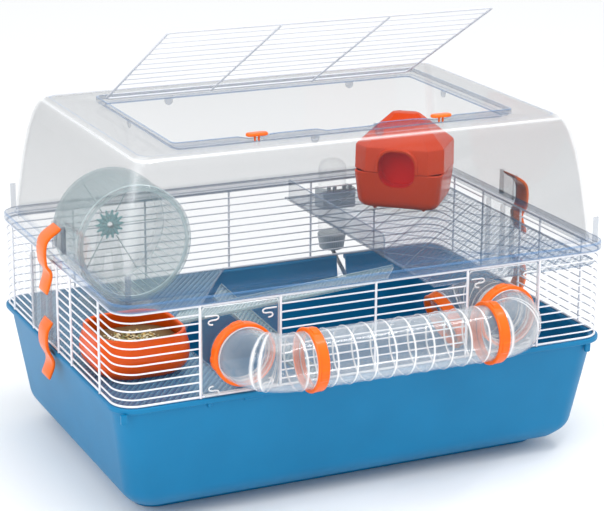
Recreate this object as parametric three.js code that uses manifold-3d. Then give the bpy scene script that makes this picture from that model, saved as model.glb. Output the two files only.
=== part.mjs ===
// Hamster cage: blue tray, white wire band, clear canopy with a hinged wire lid,
// a floor inside at rim height, an upper platform, and a tube run outside the front.
// Millimetres, +Z up, origin under the middle of the tray, +X along the long front side, +Y to the back.
import * as THREE from 'three';
import Module from 'manifold-3d';
import { mergeVertices } from 'three/addons/utils/BufferGeometryUtils.js';

const wasm = await Module();
wasm.setup();

// ---------- driving dimensions ----------
const LENGTH = 715;             // over the tray's rim
const DEPTH = 498;
const TRAY_HEIGHT = 173;
const BAND_HEIGHT = 121;        // bottom ring to top ring, centre to centre
const CANOPY_HEIGHT = 181;      // flange to flat roof
const GAP = 0.3;                // between pieces that rest on or pass each other
const RUNNING_GAP = 1;          // around pieces that turn or slide

// tray
const RIM_WIDTH = 10.5;
const RIM_THICK = 7;
const RIM_CORNER = 34;
const RIM_OVERHANG = 6.5;
const TRAY_WALL = 3;
const TRAY_TAPER = 20;          // how far the walls lean in from rim to floor
const FLOOR_CHAMFER = 16;
const PLINTH_HEIGHT = 20;
const PLINTH_INSET_X = 31;
const PLINTH_INSET_Y = 52;
const PLINTH_DRAFT = 3;
const FLOOR_THICK = 3;
const NOTCH_WIDTH = 18;
const NOTCH_DEPTH = 36;

// wire band
const WIRE = 2.2;               // horizontal wires
const RING_WIRE = 3.2;          // rings and uprights
const WIRE_INSET = 5;           // ring centre inside the rim's edge
const BAND_CORNER = 30;
const WIRE_ROWS = 11;           // horizontal wires between the rings, plus the rings
const FIRST_ROW = 9;            // lowest wire above the bottom ring
const FRONT_MIDDLE_X = 1;
const BACK_UPRIGHTS = [-245, -134, 0, 136, 245];
const SIDE_UPRIGHTS = [-178, -67, 187];
const PANEL_WIDTH = 110;
const PANEL_THICK = 2.8;
const SIDE_PANEL_Y = 43;

// tube run
const PORT_LEFT_X = -189;
const PORT_RIGHT_X = 191;
const PORT_RISE = 54;           // port centre above the bottom ring
const TUBE_OUTER = 37;
const TUBE_WALL = 2.4;
const ELBOW_RADIUS = 47;        // of the bend's centre line
const ELBOW_LAND = 8;           // straight ends that the lock rings grip
const LEFT_STUB = 14;
const INNER_DROP = THREE.MathUtils.degToRad(25);  // the inner bend points down towards the tray
const SPIGOT = 9;
const COLLAR_WALL = 4;
const COLLAR_TAB = 2.6;
const COLLAR_WIDTH = 15;

// floors and ramps
const FLOOR_EDGE_BACK_X = -12;  // right end of the inner floor at the back wall
const FLOOR_EDGE_FRONT_X = -192;
const FLOOR_EDGE_FRONT_Y = -37;
const SHEET = 2.6;
const PLATFORM_LEFT_X = 89;
const PLATFORM_DROP = 18;       // top face below the top ring
const LIP_HEIGHT = 30;
const LIP_FRONT_Y = -92;
const RAMP_WIDTH = 62;
const RAMP_BOARD = 2.4;
const RAMP_LIP = 5;
const RAMP_LIP_WALL = 2;

// wheel
const WHEEL_RADIUS = 84;
const WHEEL_WIDTH = 108;
const WHEEL_SHELL = 2.4;
const WHEEL_X = -214;
const WHEEL_FRONT_Y = 70;
const WHEEL_RISE = 27;          // tread above the inner floor
const WHEEL_LIP = 9;
const HUB_RADIUS = 10;
const HUB_DEPTH = 16;
const AXLE = 4;
const AXLE_PLAY = 0.4;
const AXLE_LENGTH = 22;
const STAND_THICK = 6;
const STAND_HALF = 46;
const POST_HALF = 30;           // at the foot
const POST_TOP = 9;

// bowl
const BOWL_HALF = 67;
const BOWL_HEIGHT = 56;
const BOWL_CORNER = 44;
const BOWL_WALL = 3;
const BOWL_MARGIN_X = 3;        // bowl to the wires
const BOWL_MARGIN_Y = 71;

// canopy, lid and latches
const CANOPY_WALL = 2.5;
const FLANGE_PROUD = 3;         // beyond the ring's centre
const SKIRT_HEIGHT = 11;
const CANOPY_STEP = 16;
const ROOF_INSET = 41;
const CANOPY_CORNER = 16;
const FIN_WIDTH = 8;            // upright fins on the brim's corners
const FIN_HEIGHT = 36;
const FIN_THICK = 2;
const OPENING_HALF_X = 243.5;
const OPENING_HALF_Y = 146;
const OPENING_Y = -14;
const OPENING_RIM = 7;          // rim above the flat roof
const LEDGE = 7;
const LID_OPEN = 29;            // degrees, as the lid stands
const LID_SIDE_GAP = 9;
const LID_END_GAP = 4;
const LID_WIRE = 3;
const LID_THIN_WIRE = 1.8;
const LID_ROWS = 12;
const LATCH_X = [-133, 132];
const LATCH_LENGTH = 30;
const LATCH_WIDTH = 13;
const LATCH_THICK = 4;

// clips and bottle
const CLIP_WIDTH = 32;
const CLIP_Y = 8;
const BRACKET_HEIGHT = 38;
const CLIP_THICK = 4;
const BOTTLE_RADIUS = 22;
const BOTTLE_X = 186;
const BOTTLE_BOTTOM = 26;       // above the bottom ring
const BOTTLE_HEIGHT = 118;
const CAP_HEIGHT = 24;
const NOZZLE_RADIUS = 3.2;
const NOZZLE_REACH = 26;        // tip inside and below the tray's rim
const STRAP_LOW = 46;           // bottle bracket, above the bottle's bottom
const STRAP_HEIGHT = 30;

// house
const HOUSE_TURN = -40;         // degrees
const HOUSE_X = 237;
const HOUSE_Y = 132;
const HOUSE_HALF_WIDTH = 67;
const HOUSE_HALF_DEPTH = 57;
const HOUSE_HEIGHT = 138;
const HOUSE_SEAM = 56;
const HOUSE_WALL = 2.6;
const DOOR_RADIUS = 27;
const DOOR_RISE = 62;
const PEG_HEIGHT = 4;
const PEG_X = 37;
const PEG_Y = 31;
const HOOD_SHOULDER = 44;       // below the top, where the walls end
const HOOD_EAVE = 37;           // below the top, where the sloping roof starts
const HOOD_SLOPE = 48;          // the flat top, in from the walls

// ---------- places worked out from them ----------
const rimHalf = { x: LENGTH / 2, y: DEPTH / 2 };
const ringHalf = { x: rimHalf.x - WIRE_INSET, y: rimHalf.y - WIRE_INSET };
const ringLow = TRAY_HEIGHT + GAP + RING_WIRE / 2;
const ringHigh = ringLow + BAND_HEIGHT;
const portZ = ringLow + PORT_RISE;
const floorTop = TRAY_HEIGHT + GAP + SHEET;
const platformTop = ringHigh - PLATFORM_DROP;
const flangeZ = ringHigh + RING_WIRE / 2 + GAP;
const roofZ = flangeZ + CANOPY_HEIGHT;
const canopyEdge = { x: ringHalf.x + FLANGE_PROUD, y: ringHalf.y + FLANGE_PROUD };
const wireClear = RING_WIRE / 2 + RUNNING_GAP;
const insideHalf = { x: ringHalf.x - wireClear, y: ringHalf.y - wireClear };

const material = (color, roughness, extra = {}) =>
  new THREE.MeshStandardMaterial({ color, roughness, metalness: 0, ...extra });
const clear = material('#dfe8ee', 0.08, { transparent: true, opacity: 0.3 });
const blue = material('#3f97cc', 0.35);
const smoke = material('#9fb6c4', 0.25, { transparent: true, opacity: 0.6 });
const orange = material('#f07424', 0.35);
const brick = material('#cf4a20', 0.35);
const teal = material('#a6c2c8', 0.3, { transparent: true, opacity: 0.7 });
const white = material('#ededf2', 0.4);
const grey = material('#8c959b', 0.45);
const steel = material('#b4b8bc', 0.25, { metalness: 1 });
const grain = material('#a8946a', 0.9);

const cage = new THREE.Group();

function piece(name, geometry, mat, parent = cage) {
  const mesh = new THREE.Mesh(geometry, mat);
  mesh.name = name;
  parent.add(mesh);
  return mesh;
}

// ---------- solids ----------
function welded(geometry) {
  const bare = geometry.clone();
  bare.deleteAttribute('normal');
  bare.deleteAttribute('uv');
  return mergeVertices(bare, 1e-4);
}

function toSolid(geometry) {
  const merged = welded(geometry);
  const vertProperties = new Float32Array(merged.attributes.position.array);
  const triVerts = new Uint32Array(merged.index.array);
  return new wasm.Manifold(new wasm.Mesh({ numProp: 3, vertProperties, triVerts }));
}

function toGeometry(solid) {
  const mesh = solid.getMesh();
  const geometry = new THREE.BufferGeometry();
  geometry.setAttribute('position', new THREE.Float32BufferAttribute(mesh.vertProperties, 3));
  geometry.setIndex(Array.from(mesh.triVerts));
  return geometry;
}

const join = (...parts) => toGeometry(parts.map(toSolid).reduce((a, b) => a.add(b)));
const cut = (body, ...tools) =>
  toGeometry(tools.map(toSolid).reduce((a, b) => a.subtract(b), toSolid(body)));
const keep = (body, region) => toGeometry(toSolid(body).intersect(toSolid(region)));

function box(low, high) {
  const size = high.map((v, i) => v - low[i]);
  const middle = high.map((v, i) => (v + low[i]) / 2);
  return new THREE.BoxGeometry(...size).translate(...middle);
}

// Joins equal loops of points side by side. A closed loft wraps round, an open one has flat caps.
function loft(loops, wraps) {
  const count = loops[0].length;
  const position = loops.flat().flatMap((p) => [p.x, p.y, p.z]);
  const index = [];
  const last = wraps ? loops.length : loops.length - 1;
  for (let i = 0; i < last; i += 1) {
    const here = i * count;
    const next = ((i + 1) % loops.length) * count;
    for (let j = 0; j < count; j += 1) {
      const k = (j + 1) % count;
      index.push(here + j, here + k, next + k, here + j, next + k, next + j);
    }
  }
  if (!wraps) {
    for (let j = 1; j < count - 1; j += 1) {
      const end = (loops.length - 1) * count;
      index.push(0, j + 1, j, end, end + j, end + j + 1);
    }
  }
  return outward(position, index);
}

function outward(position, index) {
  const corner = (i) => new THREE.Vector3().fromArray(position, index[i] * 3);
  let volume = 0;
  for (let i = 0; i < index.length; i += 3) volume += corner(i).dot(corner(i + 1).cross(corner(i + 2)));
  const facing = volume < 0 ? index.reverse() : index;
  const geometry = new THREE.BufferGeometry();
  geometry.setAttribute('position', new THREE.Float32BufferAttribute(position, 3));
  geometry.setIndex(facing);
  return geometry;
}

// A rounded rectangle as a loop of points, with its middle at (0, middleY).
function roundLoop(halfX, halfY, radius, z, middleY = 0, steps = 4) {
  const r = Math.min(radius, halfX, halfY);
  const centres = [[1, 1], [-1, 1], [-1, -1], [1, -1]];
  return centres.flatMap(([sx, sy], corner) => Array.from({ length: steps + 1 }, (_, i) => {
    const turn = (corner + i / steps) * Math.PI / 2;
    const x = sx * (halfX - r) + r * Math.cos(turn);
    return new THREE.Vector3(x, middleY + sy * (halfY - r) + r * Math.sin(turn), z);
  }));
}

// Extrudes a flat outline upwards along Z.
function plate(shape, depth) {
  return new THREE.ExtrudeGeometry(shape, { depth, bevelEnabled: false, curveSegments: 16 });
}

const outline = (points) => new THREE.Shape(points.map(([x, y]) => new THREE.Vector2(x, y)));

// Stands a flat outline up, its own y as height, with the width spread evenly along Y.
function upright(shape, width) {
  return plate(shape, width).rotateX(Math.PI / 2).translate(0, width / 2, 0);
}

// ---------- tray ----------
function trayGeometry() {
  const wall = { x: rimHalf.x - RIM_OVERHANG, y: rimHalf.y - RIM_OVERHANG };
  const at = (inset, z, corner) => roundLoop(wall.x - inset, wall.y - inset, corner, z);
  const rimUnder = TRAY_HEIGHT - RIM_THICK;
  const plinth = { x: wall.x - TRAY_TAPER - PLINTH_INSET_X, y: wall.y - TRAY_TAPER - PLINTH_INSET_Y };
  const foot = (out, z, corner) => roundLoop(plinth.x + out, plinth.y + out, corner, z);
  const shelf = PLINTH_HEIGHT + FLOOR_THICK;
  const edge = PLINTH_HEIGHT + FLOOR_CHAMFER;
  return loft([
    foot(0, 0, 30),
    foot(PLINTH_DRAFT, PLINTH_HEIGHT, 30),
    at(TRAY_TAPER + FLOOR_CHAMFER, PLINTH_HEIGHT, 34),
    at(TRAY_TAPER, edge, 34),
    at(0, rimUnder, 32),
    at(-RIM_OVERHANG, rimUnder, RIM_CORNER),
    at(-RIM_OVERHANG, TRAY_HEIGHT, RIM_CORNER),
    at(RIM_WIDTH - RIM_OVERHANG, TRAY_HEIGHT, 26),
    at(RIM_WIDTH - RIM_OVERHANG, rimUnder, 26),
    at(TRAY_TAPER + TRAY_WALL, edge, 30),
    at(TRAY_TAPER + FLOOR_CHAMFER + 2, shelf, 30),
    foot(PLINTH_DRAFT - TRAY_WALL, shelf, 27),
    foot(-TRAY_WALL, FLOOR_THICK, 27),
  ], false);
}

function bottleNotch() {
  const low = [BOTTLE_X - NOTCH_WIDTH / 2, rimHalf.y - 60, TRAY_HEIGHT - NOTCH_DEPTH];
  return box(low, [BOTTLE_X + NOTCH_WIDTH / 2, rimHalf.y + 5, TRAY_HEIGHT + 5]);
}
piece('tray', cut(trayGeometry(), bottleNotch()), blue);

// ---------- inner floor ----------
const floorCorner = BAND_CORNER - RING_WIRE / 2 - RUNNING_GAP;
function innerFloorShape() {
  const shape = new THREE.Shape();
  shape.moveTo(FLOOR_EDGE_BACK_X, insideHalf.y);
  shape.lineTo(floorCorner - insideHalf.x, insideHalf.y);
  shape.absarc(floorCorner - insideHalf.x, insideHalf.y - floorCorner, floorCorner, Math.PI / 2, Math.PI);
  shape.absarc(floorCorner - insideHalf.x, floorCorner - insideHalf.y, floorCorner, Math.PI, Math.PI * 1.5);
  shape.lineTo(FLOOR_EDGE_FRONT_X, -insideHalf.y);
  shape.lineTo(FLOOR_EDGE_FRONT_X, FLOOR_EDGE_FRONT_Y);
  return shape;
}
piece('inner_floor', plate(innerFloorShape(), SHEET), smoke).position.z = floorTop - SHEET;

// ---------- wire band ----------
const rowHeights = Array.from({ length: WIRE_ROWS - 1 }, (_, i) =>
  ringLow + FIRST_ROW + i * (BAND_HEIGHT - FIRST_ROW) / (WIRE_ROWS - 1));

function hoop(z, thick) {
  const loop = (side, up) => {
    const out = side * thick / 2;
    return roundLoop(ringHalf.x + out, ringHalf.y + out, BAND_CORNER + out, z + up * thick / 2);
  };
  return loft([loop(1, -1), loop(1, 1), loop(-1, 1), loop(-1, -1)], true);
}

function uprightWire(x, y) {
  const half = RING_WIRE / 2;
  return box([x - half, y - half, ringLow], [x + half, y + half, ringHigh]);
}

const outsideX = ringHalf.x + RING_WIRE / 2;
const outsideY = ringHalf.y + RING_WIRE / 2;
const panelHalf = PANEL_WIDTH / 2;
const frontUprights = [PORT_LEFT_X, PORT_RIGHT_X].flatMap((x) => [x - panelHalf, x + panelHalf]);
const sideUprights = [...SIDE_UPRIGHTS, SIDE_PANEL_Y - panelHalf, SIDE_PANEL_Y + panelHalf];

function bandWires() {
  const rows = rowHeights.map((z) => hoop(z, WIRE));
  const rings = [hoop(ringLow, RING_WIRE), hoop(ringHigh, RING_WIRE)];
  const posts = [
    ...[...frontUprights, FRONT_MIDDLE_X].map((x) => uprightWire(x, -outsideY)),
    ...BACK_UPRIGHTS.map((x) => uprightWire(x, outsideY)),
    ...sideUprights.flatMap((y) => [uprightWire(-outsideX, y), uprightWire(outsideX, y)]),
  ];
  return join(...rows, ...rings, ...posts);
}

// The window between the rings that a panel fills.
function panelWindow(x, y, alongX) {
  const along = panelHalf - RING_WIRE / 2;
  const across = 6;
  const half = alongX ? [along, across] : [across, along];
  const low = [x - half[0], y - half[1], ringLow + RING_WIRE / 2 + GAP];
  return box(low, [x + half[0], y + half[1], ringHigh - RING_WIRE / 2 - GAP]);
}

// The wedge of space that holds one wall and half of each corner bend.
function wallRegion(turn) {
  const alongX = turn % 2 === 0;
  const half = alongX ? ringHalf : { x: ringHalf.y, y: ringHalf.x };
  const inner = { x: half.x - BAND_CORNER - GAP / 2, y: half.y - BAND_CORNER + GAP / 2 };
  const reach = 2 * BAND_CORNER;
  const shape = outline([
    [-inner.x, -inner.y], [-inner.x - reach, -inner.y - reach],
    [inner.x + reach, -inner.y - reach], [inner.x, -inner.y],
  ]);
  return plate(shape, BAND_HEIGHT + 20).translate(0, 0, ringLow - 10).rotateZ(turn * Math.PI / 2);
}

const panelPlaces = [
  { name: 'front_left', x: PORT_LEFT_X, y: -ringHalf.y, alongX: true },
  { name: 'front_right', x: PORT_RIGHT_X, y: -ringHalf.y, alongX: true },
  { name: 'left', x: -ringHalf.x, y: SIDE_PANEL_Y, alongX: false },
  { name: 'right', x: ringHalf.x, y: SIDE_PANEL_Y, alongX: false },
];
const wires = cut(bandWires(), ...panelPlaces.map((p) => panelWindow(p.x, p.y, p.alongX)));
['front', 'right', 'back', 'left'].forEach((side, turn) => {
  piece(`grille_${side}`, keep(wires, wallRegion(turn)), white);
});

// ---------- clear panels ----------
function panelPlate() {
  const half = panelHalf - RING_WIRE / 2 - GAP;
  const low = [-half, -PANEL_THICK / 2, ringLow + RING_WIRE / 2 + 2 * GAP];
  return box(low, [half, PANEL_THICK / 2, ringHigh - RING_WIRE / 2 - 2 * GAP]);
}

function bore(radius, length, y) {
  return new THREE.CylinderGeometry(radius, radius, length, 24).translate(0, y, portZ);
}

function portPanel() {
  const spigotY = -SPIGOT / 2;
  const body = join(panelPlate(), bore(TUBE_OUTER, SPIGOT, spigotY));
  return cut(body, bore(TUBE_OUTER - TUBE_WALL, SPIGOT + 4 * PANEL_THICK, spigotY));
}

function sidePanel(side) {
  const edge = side * (panelHalf - 10);
  const flange = box([edge - 2, -8, ringLow + 6], [edge + 2, 0, ringHigh - 6]);
  return join(panelPlate(), flange);
}
piece('port_panel_left', portPanel(), clear).position.set(PORT_LEFT_X, -ringHalf.y, 0);
const innerSpigot = cut(
  bore(TUBE_OUTER, SPIGOT, SPIGOT / 2), bore(TUBE_OUTER - TUBE_WALL, SPIGOT + 2, SPIGOT / 2));
const rightPort = piece('port_panel_right', join(portPanel(), innerSpigot), clear);
rightPort.position.set(PORT_RIGHT_X, -ringHalf.y, 0);
for (const [name, side] of [['left', -1], ['right', 1]]) {
  const panel = piece(`side_panel_${name}`, sidePanel(side), clear);
  panel.position.set(side * ringHalf.x, SIDE_PANEL_Y, 0);
  panel.rotation.z = side * Math.PI / 2;
}

// ---------- tube run ----------
const elbowStartY = -(ringHalf.y + SPIGOT + GAP);
const elbowReach = ELBOW_RADIUS + ELBOW_LAND;
const runY = elbowStartY - elbowReach;
const runLeftX = PORT_LEFT_X + elbowReach + LEFT_STUB;
const runRightX = PORT_RIGHT_X - elbowReach;
const TUBE_SIDES = 20;

// A circle of points round a centre, in the plane of a flat direction and Z.
function ringLoop(centre, flat, radius) {
  return Array.from({ length: TUBE_SIDES }, (_, i) => {
    const turn = i / TUBE_SIDES * 2 * Math.PI;
    const step = flat.clone().multiplyScalar(radius * Math.cos(turn));
    step.z += radius * Math.sin(turn);
    return step.add(centre);
  });
}

// A pipe through stations, each a centre and the flat direction across the pipe there.
function pipe(stations, outer, wall) {
  const loops = (radius) => stations.map((s) => ringLoop(s.centre, s.flat, radius));
  return loft([...loops(outer), ...loops(outer - wall).reverse()], true);
}

// A quarter bend from the origin towards -Y or +Y, ending along +X or -X with a straight stub.
function elbow(alongX, alongY, stub) {
  const steps = 7;
  const stations = Array.from({ length: steps + 1 }, (_, i) => {
    const turn = i / steps * Math.PI / 2;
    const flat = new THREE.Vector3(-alongX * Math.cos(turn), alongY * Math.sin(turn), 0);
    const centre = flat.clone().multiplyScalar(ELBOW_RADIUS);
    centre.x += alongX * ELBOW_RADIUS;
    centre.y += alongY * ELBOW_LAND;
    return { centre, flat };
  });
  const first = stations[0];
  const last = stations[steps];
  const start = { centre: new THREE.Vector3(), flat: first.flat };
  const end = { centre: last.centre.clone(), flat: last.flat };
  end.centre.x += alongX * (ELBOW_LAND + stub);
  return pipe([start, ...stations, end], TUBE_OUTER, TUBE_WALL);
}

function straightTube() {
  const flat = new THREE.Vector3(0, 1, 0);
  const station = (x) => ({ centre: new THREE.Vector3(x, runY, portZ), flat });
  return pipe([station(runLeftX + GAP), station(runRightX - GAP)], TUBE_OUTER, TUBE_WALL);
}
piece('elbow_left', elbow(1, -1, LEFT_STUB), clear).position.set(PORT_LEFT_X, elbowStartY, portZ);
piece('elbow_right', elbow(-1, -1, 0), clear).position.set(PORT_RIGHT_X, elbowStartY, portZ);
const innerStartY = -ringHalf.y + SPIGOT + GAP;
const elbowInner = piece('elbow_inner', elbow(-1, 1, 0), clear);
elbowInner.position.set(PORT_RIGHT_X, innerStartY, portZ);
elbowInner.rotation.y = -INNER_DROP;
const innerEnd = {
  x: PORT_RIGHT_X - elbowReach * Math.cos(INNER_DROP),
  y: innerStartY + elbowReach,
  z: portZ - elbowReach * Math.sin(INNER_DROP),
};
piece('tube_straight', straightTube(), clear);

// A lock ring: a short sleeve with four raised grip tabs.
function collarGeometry() {
  const steps = 32;
  const radius = (i) => TUBE_OUTER + COLLAR_WALL + (i % 8 < 2 ? COLLAR_TAB : 0);
  const shape = new THREE.Shape(Array.from({ length: steps }, (_, i) => {
    const turn = (i + 0.5) / steps * 2 * Math.PI;
    return new THREE.Vector2(radius(i) * Math.cos(turn), radius(i) * Math.sin(turn));
  }));
  const hole = new THREE.Path();
  hole.absarc(0, 0, TUBE_OUTER + GAP, 0, 2 * Math.PI);
  shape.holes.push(hole);
  return plate(shape, COLLAR_WIDTH).translate(0, 0, -COLLAR_WIDTH / 2).rotateX(Math.PI / 2);
}
const collarPlaces = [
  { name: 'collar_port_left', x: PORT_LEFT_X, y: elbowStartY, z: portZ, turn: 0, drop: 0 },
  { name: 'collar_tube_left', x: runLeftX, y: runY, z: portZ, turn: Math.PI / 2, drop: 0 },
  { name: 'collar_tube_right', x: runRightX, y: runY, z: portZ, turn: Math.PI / 2, drop: 0 },
  { name: 'collar_port_right', x: PORT_RIGHT_X, y: elbowStartY, z: portZ, turn: 0, drop: 0 },
  { name: 'collar_inner', ...innerEnd, turn: Math.PI / 2, drop: INNER_DROP },
];
const collarShape = collarGeometry();
for (const place of collarPlaces) {
  const collar = piece(place.name, collarShape, orange);
  collar.position.set(place.x, place.y, place.z);
  collar.rotation.set(0, -place.drop, place.turn);
}

// ---------- upper platform ----------
function platformShape() {
  const right = insideHalf.x - RUNNING_GAP;
  const depth = insideHalf.y - RUNNING_GAP - PANEL_THICK;
  const shape = new THREE.Shape();
  shape.moveTo(PLATFORM_LEFT_X, -depth);
  shape.lineTo(right - floorCorner, -depth);
  shape.absarc(right - floorCorner, floorCorner - depth, floorCorner, -Math.PI / 2, 0);
  shape.absarc(right - floorCorner, depth - floorCorner, floorCorner, 0, Math.PI / 2);
  shape.lineTo(PLATFORM_LEFT_X, depth);
  return shape;
}

function platformGeometry() {
  const sheet = plate(platformShape(), SHEET).translate(0, 0, platformTop - SHEET);
  const backY = canopyEdge.y - CANOPY_STEP - CANOPY_WALL - RUNNING_GAP;
  const lip = box([PLATFORM_LEFT_X, LIP_FRONT_Y, platformTop - SHEET],
    [PLATFORM_LEFT_X + SHEET, backY, platformTop + LIP_HEIGHT]);
  return join(sheet, lip);
}
piece('upper_platform', platformGeometry(), smoke);

// ---------- ramps: a ribbed board with a low lip on each side ----------
function rampGeometry(length) {
  const half = RAMP_WIDTH / 2;
  const inner = half - RAMP_LIP_WALL;
  const section = outline([
    [-half, 0], [half, 0], [half, RAMP_LIP], [inner, RAMP_LIP],
    [inner, RAMP_BOARD], [-inner, RAMP_BOARD], [-inner, RAMP_LIP], [-half, RAMP_LIP],
  ]);
  return plate(section, length).rotateX(Math.PI / 2).translate(0, length, 0);
}

// Lays a ramp from its foot to its head, both the middle of the board's underside.
function layRamp(name, foot, head) {
  const run = new THREE.Vector3().subVectors(head, foot);
  const ramp = piece(name, rampGeometry(run.length()), teal);
  ramp.rotation.order = 'ZXY';
  ramp.rotation.z = Math.atan2(-run.x, run.y);
  ramp.rotation.x = Math.asin(run.z / run.length());
  ramp.position.copy(foot);
}

// A point a share of the way along the inner floor's slanting edge, and some way out from it.
const edgeFront = new THREE.Vector3(FLOOR_EDGE_FRONT_X, FLOOR_EDGE_FRONT_Y, 0);
const edgeBack = new THREE.Vector3(FLOOR_EDGE_BACK_X, insideHalf.y, 0);
const edgeRun = edgeBack.clone().sub(edgeFront).normalize();
const edgeAway = new THREE.Vector3(edgeRun.y, -edgeRun.x, 0);
function floorEdge(share, out, z) {
  return edgeFront.clone().lerp(edgeBack, share).addScaledVector(edgeAway, out).setZ(z);
}

// Each head stops just short of the edge it serves.
const headY = LIP_FRONT_Y - RAMP_WIDTH / 2 - 20;
const upperHead = new THREE.Vector3(PLATFORM_LEFT_X - 15, headY, platformTop - 10);
layRamp('ramp_upper', floorEdge(0.22, -22, floorTop + 4), upperHead);
layRamp('ramp_lower', floorEdge(0.74, 190, FLOOR_THICK + 6), floorEdge(0.74, 5, floorTop - 9));

// ---------- wheel on its stand ----------
const wheelZ = floorTop + WHEEL_RISE + WHEEL_RADIUS;
const wheelRear = WHEEL_FRONT_Y + WHEEL_WIDTH;

// The drum's section is turned about Y: hub, closed back, tread and a narrow lip at the open front.
function wheelGeometry() {
  const front = HUB_DEPTH - WHEEL_WIDTH;
  const inner = WHEEL_RADIUS - WHEEL_SHELL;
  const bore = AXLE + AXLE_PLAY;
  const profile = [
    [bore, 0], [HUB_RADIUS, 0], [HUB_RADIUS, HUB_DEPTH - WHEEL_SHELL], [inner, HUB_DEPTH - WHEEL_SHELL],
    [inner, front + WHEEL_SHELL], [WHEEL_RADIUS - WHEEL_LIP, front + WHEEL_SHELL],
    [WHEEL_RADIUS - WHEEL_LIP, front], [WHEEL_RADIUS, front], [WHEEL_RADIUS, HUB_DEPTH],
    [bore, HUB_DEPTH], [bore, 0],
  ];
  const turned = new THREE.LatheGeometry(profile.map(([x, y]) => new THREE.Vector2(x, y)), 28);
  const closed = welded(turned);
  return outward(Array.from(closed.attributes.position.array), Array.from(closed.index.array));
}
piece('wheel', wheelGeometry(), teal).position.set(WHEEL_X, wheelRear - HUB_DEPTH, wheelZ);

function standGeometry() {
  const y = wheelRear + RUNNING_GAP + AXLE / 2;
  const base = floorTop + GAP - wheelZ;
  const foot = box([-STAND_HALF, WHEEL_FRONT_Y + 14, base], [STAND_HALF, y + STAND_THICK, base + 5]);
  const side = outline([
    [-POST_HALF, base], [POST_HALF, base], [POST_TOP, POST_TOP], [-POST_TOP, POST_TOP],
  ]);
  const post = upright(side, STAND_THICK).translate(0, y + STAND_THICK / 2, 0);
  const axle = new THREE.CylinderGeometry(AXLE, AXLE, AXLE_LENGTH, 16);
  return join(foot, post, axle.translate(0, y + 1 - AXLE_LENGTH / 2, 0));
}
piece('wheel_stand', standGeometry(), teal).position.set(WHEEL_X, 0, wheelZ);

// ---------- bowl and seed ----------
const bowlX = BOWL_HALF + BOWL_MARGIN_X - insideHalf.x;
const bowlY = BOWL_HALF + BOWL_MARGIN_Y - insideHalf.y;
const bowlBase = floorTop + GAP;
function bowlLoop(inset, z) {
  return roundLoop(BOWL_HALF - inset, BOWL_HALF - inset, BOWL_CORNER - inset * 0.6, z, 0, 4);
}

function bowlGeometry() {
  return loft([
    bowlLoop(14, 0), bowlLoop(3, 12), bowlLoop(0, 30), bowlLoop(7, BOWL_HEIGHT),
    bowlLoop(7 + BOWL_WALL, BOWL_HEIGHT), bowlLoop(BOWL_WALL, 30),
    bowlLoop(3 + BOWL_WALL, 12), bowlLoop(16, BOWL_WALL),
  ], false);
}
const bowl = piece('bowl', bowlGeometry(), brick);
bowl.position.set(bowlX, bowlY, bowlBase);
const seedHeap = loft([
  bowlLoop(17, BOWL_WALL + GAP), bowlLoop(BOWL_WALL + 3.8, 12), bowlLoop(BOWL_WALL + 1, 29),
  bowlLoop(BOWL_WALL + 2.5, 35), bowlLoop(24, 41),
], false);
piece('seed_mix', seedHeap, grain).position.copy(bowl.position);

// ---------- canopy ----------
const skirtTop = flangeZ + SKIRT_HEIGHT;
// How far the wall leans in at each share of its height: steady low down, rounding over at the roof.
const LEAN = [
  [0, 0], [0.24, 4.5], [0.5, 10], [0.71, 16], [0.86, 22.5], [0.95, 29], [0.985, 34], [1, ROOF_INSET],
];

function canopyLoops(inward) {
  return LEAN.map(([share, lean]) => {
    const inset = CANOPY_STEP + lean + inward;
    const z = skirtTop + share * (roofZ - skirtTop);
    return roundLoop(canopyEdge.x - inset, canopyEdge.y - inset, CANOPY_CORNER, z);
  });
}

function openingLoop(out, z) {
  return roundLoop(OPENING_HALF_X + out, OPENING_HALF_Y + out, 8, z, OPENING_Y);
}

function canopyShell() {
  const wall = CANOPY_WALL;
  const edge = (inward, z) => roundLoop(canopyEdge.x - inward, canopyEdge.y - inward, BAND_CORNER, z);
  const lowered = (p) => p.clone().setZ(Math.min(p.z, roofZ - wall));
  const inner = canopyLoops(wall).map((loop) => loop.map(lowered));
  return loft([
    edge(0, flangeZ), edge(0, skirtTop), ...canopyLoops(0),
    openingLoop(wall, roofZ), openingLoop(wall, roofZ + OPENING_RIM), openingLoop(0, roofZ + OPENING_RIM),
    openingLoop(0, roofZ - wall), openingLoop(-LEDGE, roofZ - wall), openingLoop(-LEDGE, roofZ - 2 * wall),
    openingLoop(wall, roofZ - 2 * wall), ...inner.slice(1, -1).reverse(),
    inner[0].map((p) => p.clone().setZ(flangeZ)),
  ], true);
}

function cornerFin(sideX, sideY) {
  const x = sideX * (canopyEdge.x - CANOPY_STEP - FIN_WIDTH / 2);
  const y = sideY * (canopyEdge.y - CANOPY_STEP / 2);
  const low = [x - FIN_WIDTH / 2, y - FIN_THICK / 2, skirtTop - 1];
  return box(low, [x + FIN_WIDTH / 2, y + FIN_THICK / 2, skirtTop + FIN_HEIGHT]);
}
const fins = [[1, 1], [-1, 1], [-1, -1], [1, -1]].map(([x, y]) => cornerFin(x, y));
piece('canopy', join(canopyShell(), ...fins), clear);

// A clear frame on the canopy's side wall that a clip turns in.
function clipBracket() {
  const wallX = canopyEdge.x - CANOPY_STEP + GAP;
  const low = skirtTop + GAP;
  const high = skirtTop + BRACKET_HEIGHT;
  const half = CLIP_WIDTH / 2 + 4;
  const cheek = (y) => box([wallX, y, low], [wallX + 7, y + 2, high]);
  return join(box([wallX, -half, low], [wallX + 1.5, half, high]), cheek(half - 2), cheek(-half));
}

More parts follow.
